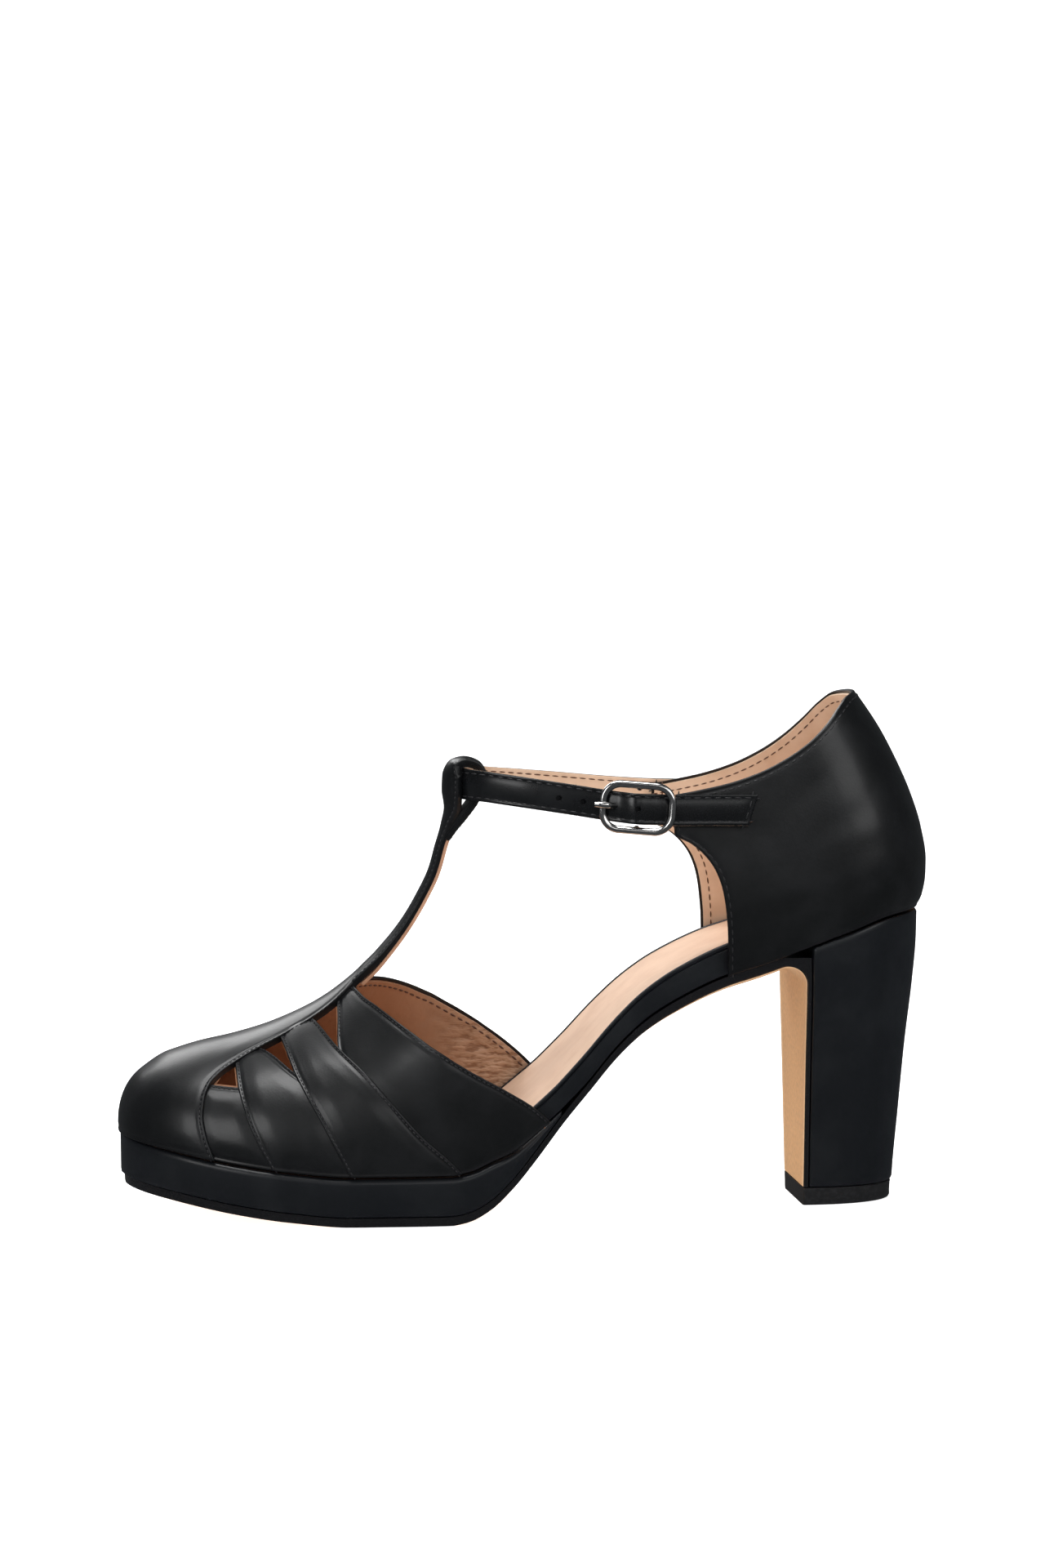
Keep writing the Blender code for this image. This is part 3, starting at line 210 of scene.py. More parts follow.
# Lines drawn on the vamp: along from the toe, rise as a share of the section's height
@dataclass(frozen=True)
class LinePoint:
    """One point of a cut line."""

    along: float
    rise: float


CAP_EDGE = rows_of(
    LinePoint,
    (0.109, 0.000), (0.099, 0.230), (0.096, 0.400), (0.099, 0.560), (0.106, 0.680),
    (0.121, 0.775), (0.141, 0.840), (0.163, 0.885), (0.192, 0.915), (0.232, 0.940),
    (0.268, 0.960), (0.290, 0.980), (0.300, 1.000),
)
TOPLINE_OUTER = rows_of(
    LinePoint,
    (0.517, 0.000), (0.486, 0.090), (0.432, 0.220), (0.402, 0.330), (0.359, 0.550),
    (0.320, 0.760), (0.290, 0.940), (0.280, 1.000),
)
TOPLINE_INNER = rows_of(
    LinePoint,
    (0.540, 0.000), (0.505, 0.110), (0.463, 0.236), (0.422, 0.365), (0.380, 0.575),
    (0.340, 0.780), (0.300, 0.940), (0.280, 1.000),
)
SECOND_STRIP_FRONT = rows_of(
    LinePoint,
    (0.177, 0.000), (0.161, 0.190), (0.147, 0.430), (0.139, 0.680), (0.137, 0.920),
)
THIRD_STRIP_FRONT = rows_of(
    LinePoint,
    (0.271, 0.000), (0.247, 0.235), (0.232, 0.400), (0.218, 0.550), (0.207, 0.700),
    (0.192, 0.965),
)
THIRD_STRIP_REAR = rows_of(
    LinePoint,
    (0.407, 0.000), (0.361, 0.147), (0.333, 0.285), (0.305, 0.460), (0.260, 0.760),
    (0.232, 0.970),
)
FOURTH_STRIP_FRONT = rows_of(
    LinePoint,
    (0.393, 0.000), (0.349, 0.147), (0.321, 0.285), (0.293, 0.460),
    (0.265, 0.660), (0.262, 0.745), (0.265, 0.900), (0.268, 1.000),
)

# Lines that the strips run up to
STRIP_TOPS = {
    "first": rows_of(LinePoint, (0.085, 0.735), (0.1135, 0.690), (0.1375, 0.660), (0.160, 0.640)),
    "second": rows_of(LinePoint, (0.130, 0.950), (0.160, 0.925), (0.2075, 0.690), (0.225, 0.600)),
    "third": rows_of(LinePoint, (0.180, 0.972), (0.240, 0.982)),
    "fourth": rows_of(LinePoint, (0.240, 0.985), (0.300, 0.999)),
}


def moved(line: Sequence[LinePoint], move: float) -> list:
    """A line moved along the shoe, to lie under its neighbour."""
    return [LinePoint(point.along + move, point.rise) for point in line]


# Strips tuck this far under the next one, as a share of the length, and the first one under the cap
STRIP_TUCK = 0.012
CAP_TUCK = 0.014
CAP_CORNER = 0.8
FIRST_STRIP_FRONT = moved([point for point in CAP_EDGE if point.rise < CAP_CORNER], -CAP_TUCK)

# Sole's stations as shares of the length, and shares of its layers' sections
WAIST_START = 0.44
WAIST_END = 0.54
PLATFORM_END = 0.532
DEEPEST_INSET = 0.85
PLATFORM_ROUND_LIMIT = 0.45
PLATFORM_TOP_FLAT = 0.20
HEEL_BEND = 0.85

# Small corners, rounds and insets
LIP_RADIUS = 0.0052
HEEL_CORNER = 0.0008
OUTSOLE_INSET = 0.0010

# Three-cornered openings between the strips, cut right through
WINDOWS = {
    "front": rows_of(LinePoint, (0.1135, 0.690), (0.1375, 0.660), (0.1365, 0.880)),
    "middle": rows_of(LinePoint, (0.160, 0.925), (0.194, 0.940), (0.2075, 0.690)),
    "rear": rows_of(LinePoint, (0.235, 0.955), (0.266, 0.965), (0.262, 0.745)),
}


# T-bar and loop in side view
@dataclass(frozen=True)
class BarRow:
    """One station of the bar: along and height are shares of the length and the strap's height."""

    along: float
    height: float
    loop: float


BAR = rows_of(
    BarRow,
    (0.262, 0.508, 0.12), (0.286, 0.538, 0.04), (0.307, 0.572, 0.00),
    (0.327, 0.616, 0.00), (0.348, 0.669, 0.00), (0.369, 0.734, 0.00),
    (0.386, 0.800, 0.00), (0.395, 0.860, 0.05), (0.402, 0.905, 0.25),
    (0.406, 0.945, 0.70), (0.4035, 0.985, 1.00), (0.4045, 1.020, 1.00),
    (0.414, 1.051, 0.60), (0.4290, 1.058, 0.20), (0.4455, 1.048, 0.00),
    (0.4545, 1.016, 0.00), (0.4450, 0.964, 0.00), (0.4300, 0.924, 0.00),
    (0.4155, 0.892, 0.00), (0.4060, 0.868, 0.00),
)


# Counter: setback is a share of the length, width a share of the outline's width
@dataclass(frozen=True)
class CounterRow:
    """One level of the quarter around the heel."""

    level: float
    setback: float
    width: float


COUNTER = rows_of(
    CounterRow,
    (0.000, -0.0030, 1.000), (0.060, 0.0030, 1.020), (0.135, 0.0068, 1.035),
    (0.210, 0.0075, 1.035), (0.360, 0.0012, 1.000), (0.505, -0.0110, 0.945),
    (0.650, -0.0280, 0.885), (0.800, -0.0495, 0.830), (0.950, -0.0775, 0.790),
    (1.000, -0.0885, 0.780),
)


# Quarter's cut outline in side view: here the rise is a share of the counter's height
QUARTER_FRONT = rows_of(
    LinePoint,
    (0.742, -0.280), (0.7415, -0.080), (0.739, 0.040), (0.735, 0.125),
    (0.727, 0.205), (0.714, 0.272), (0.697, 0.325), (0.677, 0.366),
)
QUARTER_TOP = rows_of(
    LinePoint,
    (0.677, 0.538), (0.710, 0.558), (0.745, 0.584), (0.782, 0.626),
    (0.815, 0.682), (0.846, 0.755), (0.870, 0.832), (0.890, 0.912),
    (0.905, 0.958), (0.925, 0.975), (0.960, 0.975),
)


# Heel block: level runs from the floor to the seat
@dataclass(frozen=True)
class HeelRow:
    """One level of the heel: width between tip and seat width, back between tip and top."""

    level: float
    width: float
    back: float


HEEL = rows_of(
    HeelRow,
    (0.00, 0.00, 0.00), (0.12, 0.15, 0.09), (0.30, 0.32, 0.28), (0.55, 0.58, 0.55),
    (0.75, 0.82, 0.82), (0.90, 0.95, 0.97), (1.00, 0.98, 1.00),
)


# Ankle strap in plan: across is a share of the seat half width, drop a share from loop to ear
@dataclass(frozen=True)
class StrapRow:
    """One station of the ankle strap: back is the share of the way from its front to the ear."""

    back: float
    across: float
    drop: float
    lift: float = 0.0


STRAP_INNER = rows_of(
    StrapRow,
    (1.130, 0.953, 0.86),
    (1.000, 0.950, 0.82),
    (0.800, 0.880, 0.68),
    (0.520, 0.740, 0.42),
    (0.260, 0.545, 0.18),
    (0.085, 0.345, 0.03),
    (0.018, 0.180, 0.01),
)
STRAP_OUTER = rows_of(
    StrapRow,
    (0.000, 0.000, 0.00),
    (0.018, -0.180, 0.01),
    (0.085, -0.345, 0.05),
    (0.260, -0.545, 0.24),
    (0.520, -0.730, 0.56),
    (0.640, -0.800, 0.72),
    (0.730, -0.845, 0.82, 0.30),
    (0.823, -0.885, 0.89, 1.00),
    (0.915, -0.925, 0.94, 0.30),
    (1.000, -0.950, 0.98),
    (1.200, -0.955, 1.00),
    (1.385, -0.957, 1.03),
)
STRAP_LIFT = 0.0029
STRAP_LEAN = 0.12
TIP_SLANT = 0.33
STRAP_HOLES = (0.450, 0.565, 0.820)

# Buckle, in its own plane: along is towards the heel, out is away from the ankle
BUCKLE_CORNER = 0.0058
BUCKLE_OUT = 0.0024
BAR_OUT = -0.0004
PRONG_EYE = 0.55
BAR_CRANK = 0.0012
SEAT_START = 0.0040


@dataclass(frozen=True)
class PlanePoint:
    """A point of the buckle's side outlines; wire is a share of the prong's radius."""

    along: float
    out: float
    wire: float


PRONG = rows_of(
    PlanePoint,
    (-0.0030, -0.00195, 0.55), (-0.0044, -0.00150, 0.75),
    (-0.0055, -0.00040, 0.95), (-0.0064, 0.00140, 1.00),
    (-0.0074, 0.00330, 1.00), (-0.0086, 0.00450, 1.00),
    (-0.0100, 0.00470, 1.00), (-0.0116, 0.00445, 0.90),
)


CAMERA_DISTANCE = 1.400
CAMERA_AIM = (0.0, 0.0, 0.0693)
CAMERA_AZIMUTH = -6.0
CAMERA_ELEVATION = 6.0
CAMERA_ROLL = 0.5
CAMERA_LENS = 114.13
CAMERA_SHIFT = (-0.0008, 0.112)

# Layers of the upper: heights of faces over the last's surface, and depths of backs under it
LINING_FACE = 0.0008
STRIP_HEIGHTS = (0.0001, 0.0005, 0.0009, 0.0003)
CAP_HEIGHT = 0.0012
BAR_HEIGHT = 0.0005
BAR_BACK = 0.0009
BAR_LINING_BACK = 0.0019
LAP_GAP = 0.00005

# T-bar's loop: how deep its face is cupped, and the share of the strap's height where it begins
LOOP_CUP = 0.42
LOOP_START = 0.885

# Stitches
THREAD_RADIUS = 0.00021
LINING_THREAD_RADIUS = 0.00030
STITCH_LENGTH = 0.40
STITCH_EDGE = 0.0011

# Nets: rows by an edge where leather rounds over, and the place of the first row behind the toe tip
EDGE_ROWS = (0.0, 0.00008, 0.0002, 0.0004, 0.0007, 0.0011, 0.0015, 0.0021)
MOST_EDGE_SHARE = 0.4
SHORT_NET_ROWS = 11
NEAR_TIP = 0.00001
WELD_DECIMALS = 7
NEAR_POINTS = 1e-6
TINY = 1e-12
QUARTER_TURN = math.pi / 2


class Curve:
    """A smooth curve through a short table, read at many places at once."""

    def __init__(self, places: Sequence[float], values: Sequence[float]) -> None:
        """Works out the slope at each row so that the curve never overshoots.

        Args:
            places: where the rows stand, in rising order.
            values: the value of each row.
        """
        self.places = np.array(places, float)
        self.values = np.array(values, float)
        step = np.diff(self.places)
        slope = np.diff(self.values) / step
        tangent = np.zeros(len(self.places))
        tangent[0], tangent[-1] = slope[0], slope[-1]
        for i in range(1, len(self.places) - 1):
            if slope[i - 1] * slope[i] > 0:
                near = 2 * step[i] + step[i - 1]
                far = step[i] + 2 * step[i - 1]
                tangent[i] = (near + far) / (near / slope[i - 1] + far / slope[i])
        self.tangents = tangent

    def at(self, place: Union[float, Array]) -> Array:
        """Reads the curve, holding its end values.

        Args:
            place: one place or an array of them.

        Returns:
            The values there.
        """
        place = np.clip(place, self.places[0], self.places[-1])
        i = np.clip(np.searchsorted(self.places, place) - 1, 0, len(self.places) - 2)
        span = self.places[i + 1] - self.places[i]
        t = (place - self.places[i]) / span
        low, high = self.values[i], self.values[i + 1]
        blend = t * t * (3 - 2 * t)
        rise = span * self.tangents[i] * t * (1 - t) ** 2
        fall = span * self.tangents[i + 1] * t * t * (1 - t)
        return low + (high - low) * blend + rise - fall


def column(rows: Sequence, place: str, value: str) -> Curve:
    """A curve of one named column of a table against another."""
    ordered = sorted(rows, key=lambda row: getattr(row, place))
    return Curve([getattr(r, place) for r in ordered], [getattr(r, value) for r in ordered])


def round_end(share: Array, bluntness: float) -> Array:
    """From 0 at an end to 1 where the round of the end is over."""
    inside = np.clip(share, 0.0, 1.0)
    return (1 - (1 - inside) ** bluntness) ** (1 / bluntness)


def fade(value: Array, start: float, end: float) -> Array:
    """0 before start, 1 after end, smooth between."""
    t = np.clip((value - start) / (end - start), 0.0, 1.0)
    return t * t * (3 - 2 * t)


def close_net(length: float, step: float) -> Array:
    """Shares from 0 to 1 with close rows by both edges, where leather rounds over.

    Args:
        length: rough length of the piece along the row.
        step: wanted spacing away from the edges.

    Returns:
        The shares, in rising order.
    """
    edge = np.array(EDGE_ROWS) / length
    if edge[-1] > MOST_EDGE_SHARE:
        return np.linspace(0.0, 1.0, SHORT_NET_ROWS)
    middle = np.linspace(edge[-1], 1 - edge[-1], max(int(length / step), 2) + 1)[1:-1]
    return np.concatenate([edge, middle, 1 - edge[::-1]])


def turn_of(rise: Union[float, Array]) -> Array:
    """Turn round the vamp at a share of the section's height, on the outer side."""
    return np.arcsin(np.clip(rise, 0.0, 1.0))


class Side(Enum):
    """The two sides of the shoe."""

    OUTER = -1
    INNER = 1

    def turned(self, turn: Array) -> Array:
        """A turn from this side's feather edge, as one from the outer edge."""
        return turn if self is Side.OUTER else math.pi - turn


class Border(Enum):
    """The borders of a net: its first and last row, its first and last column."""

    FRONT = "front"
    REAR = "rear"
    LOW = "low"
    HIGH = "high"


def curve_field(rows: Sequence, place: str, value: str) -> Any:
    """A dataclass field that holds the curve of one column of a table."""
    return field(default_factory=lambda: column(rows, place, value))


@dataclass(frozen=True)
class Last:
    """The form that the shoe is made on: every piece takes its place from it."""

    spring: Curve = curve_field(SOLE, "along", "spring")
    arch: Curve = curve_field(SOLE, "along", "arch")
    platform: Curve = curve_field(SOLE, "along", "platform")
    board: Curve = curve_field(SOLE, "along", "board")
    ball: Curve = curve_field(PLAN, "along", "ball")
    waist: Curve = curve_field(PLAN, "along", "waist")
    seat: Curve = curve_field(PLAN, "along", "seat")
    shift: Curve = curve_field(PLAN, "along", "shift")
    rise: Curve = curve_field(VAMP, "along", "rise")
    peak: Curve = curve_field(VAMP, "along", "peak")
    setback: Curve = curve_field(COUNTER, "level", "setback")
    lean: Curve = curve_field(COUNTER, "level", "width")

    def read(self, curve: Curve, x: Array) -> Array:
        """Reads a curve of the length at x."""
        return curve.at(self.share(x))

    def place(self, along: Array) -> Array:
        """x of a share of the length."""
        return TOE_TIP + SHOE_LENGTH * np.asarray(along, float)

    def share(self, x: Array) -> Array:
        """Share of the length at x."""
        return (np.asarray(x, float) - TOE_TIP) / SHOE_LENGTH

    def ground(self, x: Array) -> Array:
        """Height of the outsole's underside edge."""
        return TOE_SPRING * self.read(self.spring, x) + SEAT_RISE * self.read(self.arch, x)

    def feather(self, x: Array) -> Array:
        """Height where the upper meets the platform, the waist's edge or the heel."""
        return self.ground(x) + OUTSOLE_THICKNESS + PLATFORM_HEIGHT * self.read(self.platform, x)

    def bed(self, x: Array) -> Array:
        """Height of the footbed."""
        return self.feather(x) + BOARD_THICKNESS * self.read(self.board, x)

    def body(self, x: Array) -> Array:
        """Half width of the outline before its ends are rounded."""
        half = BALL_WIDTH * self.read(self.ball, x) + WAIST_WIDTH * self.read(self.waist, x)
        return (half + SEAT_WIDTH * self.read(self.seat, x)) / 2

    def centre(self, x: Array) -> Array:
        """Sideways shift of the outline's middle."""
        return BALL_WIDTH * self.read(self.shift, x)

    def outline(self, x: Array, inset: Union[float, Array] = 0.0) -> Array:
        """Half width of the outline at the sole, moved in by inset.

        Args:
            x: places along the shoe.
            inset: how far it moves in.

        Returns:
            The half widths.
        """
        front = round_end((x - TOE_TIP - inset) / TOE_ROUND, TOE_BLUNTNESS)
        back = round_end((TOE_TIP + SHOE_LENGTH - inset - x) / HEEL_ROUND, HEEL_BLUNTNESS)
        return np.maximum(self.body(x) - inset, 0.0) * front * back

    def vamp(self, x: Array, turn: Array) -> Array:
        """Points of the vamp's surface.

        Args:
            x: places along the shoe.
            turn: 0 at the outer feather line, over the ridge, to pi at the inner one.

        Returns:
            The points, with x, y and z in the last axis.
        """
        lift = np.sin(turn)
        pinch = 1 - self.read(self.peak, x) * lift ** 4
        y = self.centre(x) - self.outline(x) * np.cos(turn) * pinch
        toe = round_end((x - TOE_TIP) / TOE_BOX_ROUND, TOE_BLUNTNESS)
        z = self.feather(x) + CLEARANCE + THROAT_RISE * self.read(self.rise, x) * toe * lift
        return np.stack([x, y, z], axis=-1)

    def counter_back(self, level: Array) -> Array:
        """x of the counter's back at a level."""
        return self.place(1.0) + SHOE_LENGTH * self.setback.at(level)

    def counter(self, x: Array, side: Array, level: Array) -> Array:
        """Points of the quarter's surface at a share of the counter's height.

        Args:
            x: places along the shoe.
            side: -1 on the outer side, 1 on the inner one.
            level: shares of the counter's height.

        Returns:
            The points, with x, y and z in the last axis.
        """
        low = self.feather(x)
        high = SEAT_RISE + OUTSOLE_THICKNESS + COUNTER_HEIGHT
        back = round_end((self.counter_back(level) - x) / HEEL_ROUND, HEEL_BLUNTNESS)
        y = self.centre(x) + side * self.body(x) * self.lean.at(level) * back
        return np.stack([x, y, low + (high - low) * level], axis=-1)

    def board_inset(self) -> float:
        """How far the board's edge lies inside the upper's outline."""
        return QUARTER_WALL + CLEARANCE - SHOE_LENGTH * float(self.setback.at(0.0))

    def sole_inset(self, x: Array, front: float) -> Array:
        """Inset of a sole layer: its own in front, flush with the board in the waist."""
        waist = fade(self.share(x), WAIST_START, WAIST_END)
        return self.board_inset() * waist + front * (1 - waist)


LAST = Last()


@dataclass(frozen=True)
class Edge:
    """How leather ends: its edge rounds over, a stitched groove follows, then a soft swell."""

    rounding: float = 0.0004
    groove_at: float = STITCH_EDGE
    groove_width: float = 0.00045
    groove_depth: float = 0.00012
    swell: float = 0.0
    swell_reach: float = 0.006

    def height(self, distance: Array) -> Array:
        """Height to add over the piece's face at a distance from its edge.

        Args:
            distance: distances from the edge.

        Returns:
            The heights.
        """
        inside = np.clip(1 - distance / self.rounding, 0.0, 1.0)
        drop = self.rounding * (1 - np.sqrt(1 - inside ** 2))
        groove = self.groove_depth * np.exp(-((distance - self.groove_at) / self.groove_width) ** 2)
        return self.swell * fade(distance, self.groove_at, self.swell_reach) - drop - groove


@dataclass(frozen=True)
class Crease:
    """A soft trough or ridge laid in leather, in side view."""

    x: float
    z: float
    heading: float
    length: float
    width: float
    depth: float

    def height(self, points: Array) -> Array:
        """Height it adds at points of a surface; a trough has a positive depth.

        Args:
            points: the points, with x, y and z in the last axis.

        Returns:
            The heights, below zero in a trough.
        """
        dx, dz = points[..., 0] - self.x, points[..., 2] - self.z
        c, s = math.cos(math.radians(self.heading)), math.sin(math.radians(self.heading))
        along, across = dx * c + dz * s, dz * c - dx * s
        return -self.depth * np.exp(-(along / self.length) ** 2 - (across / self.width) ** 2)


def tree_of(points: Sequence) -> kdtree.KDTree:
    """A search tree of points.

    Args:
        points: the points.

    Returns:
        The tree, which finds the nearest of them.
    """
    tree = kdtree.KDTree(len(points))
    for i, point in enumerate(points):
        tree.insert(point, i)
    tree.balance()
    return tree


class Skin:
    """A sheet of leather on a surface: welded points, faces, edge distances and a thickness."""

    def __init__(self, grids: Sequence[Array], inside: Sequence[float]) -> None:
        """Welds nets of points into one surface.

        Args:
            grids: nets of points, rows by columns by 3; shared points are welded.
            inside: a point on the side that faces the foot.
        """
        flat = np.concatenate([g.reshape(-1, 3) for g in grids])
        near = np.round(flat, WELD_DECIMALS)
        _, first, index = np.unique(near, axis=0, return_index=True, return_inverse=True)
        index = index.reshape(-1)
        self.points = flat[first]
        self.nets, faces, start = [], [], 0
        for g in grids:
            rows, cols = g.shape[:2]
            net = index[start:start + rows * cols].reshape(rows, cols)
            start += rows * cols
            self.nets.append(net)
            corners = [net[:-1, :-1], net[:-1, 1:], net[1:, 1:], net[1:, :-1]]
            faces.append(np.stack(corners, -1).reshape(-1, 4))
        self.faces = np.concatenate(faces)
        self.normals = self._normals()
        if np.sum(self.normals * (self.points - np.array(inside))) < 0:
            self.faces = self.faces[:, ::-1]
            self.normals = -self.normals
        self.rim = self._rim()
        self.distance = self._distance()

    def _normals(self) -> Array:
        """Normals of the points, from the faces round them.

        Returns:
            One unit vector for each point.
        """
        corner = self.points[self.faces]
        area = np.cross(corner[:, 2] - corner[:, 0], corner[:, 3] - corner[:, 1])
        total = np.zeros_like(self.points)
        for k in range(4):
            np.add.at(total, self.faces[:, k], area)
        return total / np.maximum(np.linalg.norm(total, axis=1, keepdims=True), TINY)

    def _rim(self) -> Array:
        """Directed edges that only one face has.

        Returns:
            Pairs of point numbers.
        """
        ends = np.concatenate([self.faces[:, [i, (i + 1) % 4]] for i in range(4)])
        ends = ends[ends[:, 0] != ends[:, 1]]
        _, inverse, count = np.unique(np.sort(ends, 1), axis=0, return_inverse=True, return_counts=True)
        return ends[count[inverse.reshape(-1)] == 1]

    def _distance(self) -> Array:
        """Distance of every point from the nearest point of the rim.

        Returns:
            One distance for each point.
        """
        a, b = self.points[self.rim[:, 0]], self.points[self.rim[:, 1]]
        tree = tree_of(np.concatenate([a + (b - a) * t for t in (0.0, 0.25, 0.5, 0.75)]))
        return np.array([tree.find(point)[2] for point in self.points])

    def build(self, name: str, outer: Array, inner: Union[float, Array]) -> Piece:
        """Makes the closed sheet.

        Args:
            name: name of the object.
            outer: height of the outer face over the surface, one for each point.
            inner: depth of the inner face under it.

        Returns:
            The object, linked to the scene; the outer face's points stay in self.face.
        """
        self.face = self.points + self.normals * np.asarray(outer).reshape(-1, 1)
        back = self.points - self.normals * np.asarray(inner).reshape(-1, 1)
        n = len(self.points)
        faces = [f for f in self.faces] + [f[::-1] + n for f in self.faces]
        faces += [np.array([b, a, a + n, b + n]) for a, b in self.rim]
        bm = bmesh.new()
        verts = [bm.verts.new(p) for p in np.concatenate([self.face, back])]
        for f in faces:
            ring = list(dict.fromkeys(int(i) for i in f))
            if len(ring) > 2 and bm.faces.get([verts[i] for i in ring]) is None:
                bm.faces.new([verts[i] for i in ring])
        return link(name, bm)

    def inset(self, net: int, border: Border, distance: float) -> Array:
        """A line on the outer face, a distance in from one border of a net.

        Args:
            net: number of the net.
            border: the border that the line follows.
            distance: how far in from that border.

        Returns:
            The line's points.
        """
        grid = self.face[self.nets[net]]
        if border in (Border.LOW, Border.HIGH):
            grid = grid.transpose(1, 0, 2)
        if border in (Border.REAR, Border.HIGH):
            grid = grid[::-1]
        line = []
        for k in range(grid.shape[1]):
            run = grid[:, k]
            length = np.concatenate([[0.0], np.cumsum(np.linalg.norm(np.diff(run, axis=0), axis=1))])
            line.append([np.interp(distance, length, run[:, axis]) for axis in range(3)])
        return np.array(line)


def link(name: str, bm: bmesh.types.BMesh, sharp: float = 50.0) -> Piece:
    """Turns a working mesh into a smooth-shaded object in the scene.

    Args:
        name: name of the object.
        bm: the working mesh, freed afterwards.
        sharp: angle in degrees over which an edge shades sharp.

    Returns:
        The object.
    """
    mesh = bpy.data.meshes.new(name)
    bm.to_mesh(mesh)
    bm.free()
    obj = bpy.data.objects.new(name, mesh)
    bpy.context.scene.collection.objects.link(obj)
    mesh.shade_smooth()
    mesh.set_sharp_from_angle(angle=math.radians(sharp))
    return obj


def loft(name: str, rings: Array, cyclic: bool = False, sharp: float = 40.0) -> Piece:
    """A closed solid through rings of points.

    Args:
        name: name of the object.
        rings: rings by points by 3.
        cyclic: joins the last ring to the first instead of filling both ends.
        sharp: angle in degrees over which an edge shades sharp.

    Returns:
        The object.
    """
    bm = bmesh.new()
    grid = [[bm.verts.new(p) for p in ring] for ring in rings]
    pairs = list(zip(grid, grid[1:])) + ([(grid[-1], grid[0])] if cyclic else [])
    for near, far in pairs:
        for i in range(len(near)):
            j = (i + 1) % len(near)
            bm.faces.new((near[i], near[j], far[j], far[i]))
    if not cyclic:
        bm.faces.new(grid[0][::-1])
        bm.faces.new(grid[-1])
    bmesh.ops.remove_doubles(bm, verts=bm.verts, dist=NEAR_POINTS)
    bmesh.ops.dissolve_degenerate(bm, edges=bm.edges, dist=NEAR_POINTS)
    bmesh.ops.recalc_face_normals(bm, faces=bm.faces)
    return link(name, bm, sharp)


def settle(obj: Piece) -> Piece:
    """Bakes an object's modifiers into its mesh.

    Args:
        obj: the object.

    Returns:
        The same object.
    """
    bpy.context.view_layer.update()
    graph = bpy.context.evaluated_depsgraph_get()
    baked = bpy.data.meshes.new_from_object(obj.evaluated_get(graph))
    obj.modifiers.clear()
    old = obj.data
    obj.data = baked
    bpy.data.meshes.remove(old)
    return obj


def cut(obj: Piece, cutter: Piece) -> Piece:
    """Cuts one object from another exactly and removes the cutter.

    Args:
        obj: the object to cut.
        cutter: the object to cut away.

    Returns:
        The cut object.
    """
    modifier = obj.modifiers.new("cut", "BOOLEAN")
    modifier.operation = "DIFFERENCE"
    modifier.solver = "EXACT"
    modifier.object = cutter
    settle(obj)
    bpy.data.objects.remove(cutter, do_unlink=True)
    return obj


def dress(obj: Piece, material: Material, slot: str, *nodes: str) -> Piece:
    """Gives a piece its material and its body, and hides the solids that it stands for.

    Args:
        obj: the piece.
        material: its material.
        slot: not used.
        nodes: the solids that it stands for.

    Returns:
        The piece.
    """
    obj.data.materials.clear()
    obj.data.materials.append(material)
    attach(obj, "root")
    if nodes:
        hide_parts(*nodes)
    LOG.info("%s: %d faces", obj.name, len(obj.data.polygons))
    return obj


class Value:
    """A number, colour or vector on its way through a material; arithmetic adds Math nodes."""

    def __init__(self, graph: "Graph", socket: bpy.types.NodeSocket) -> None:
        """Wraps a socket of a graph."""
        self.graph = graph
        self.socket = socket

    def _math(self, operation: str, first: "Operand", second: "Operand" = 0.0) -> "Value":
        """Adds one Math node."""
        return self.graph.node("ShaderNodeMath", {"operation": operation}, {0: first, 1: second})

    def __add__(self, other: "Operand") -> "Value":
        """Sum."""
        return self._math("ADD", self, other)

    def __sub__(self, other: "Operand") -> "Value":
        """Difference."""
        return self._math("SUBTRACT", self, other)

    def __mul__(self, other: "Operand") -> "Value":
        """Product."""
        return self._math("MULTIPLY", self, other)

    def fade(self, low: float, high: float) -> "Value":
        """0 below low, 1 above high, smooth between."""
        settings = {"interpolation_type": "SMOOTHSTEP"}
        return self.graph.node("ShaderNodeMapRange", settings, {0: self, 1: low, 2: high, 3: 0.0, 4: 1.0})


Operand = Union[Value, float]


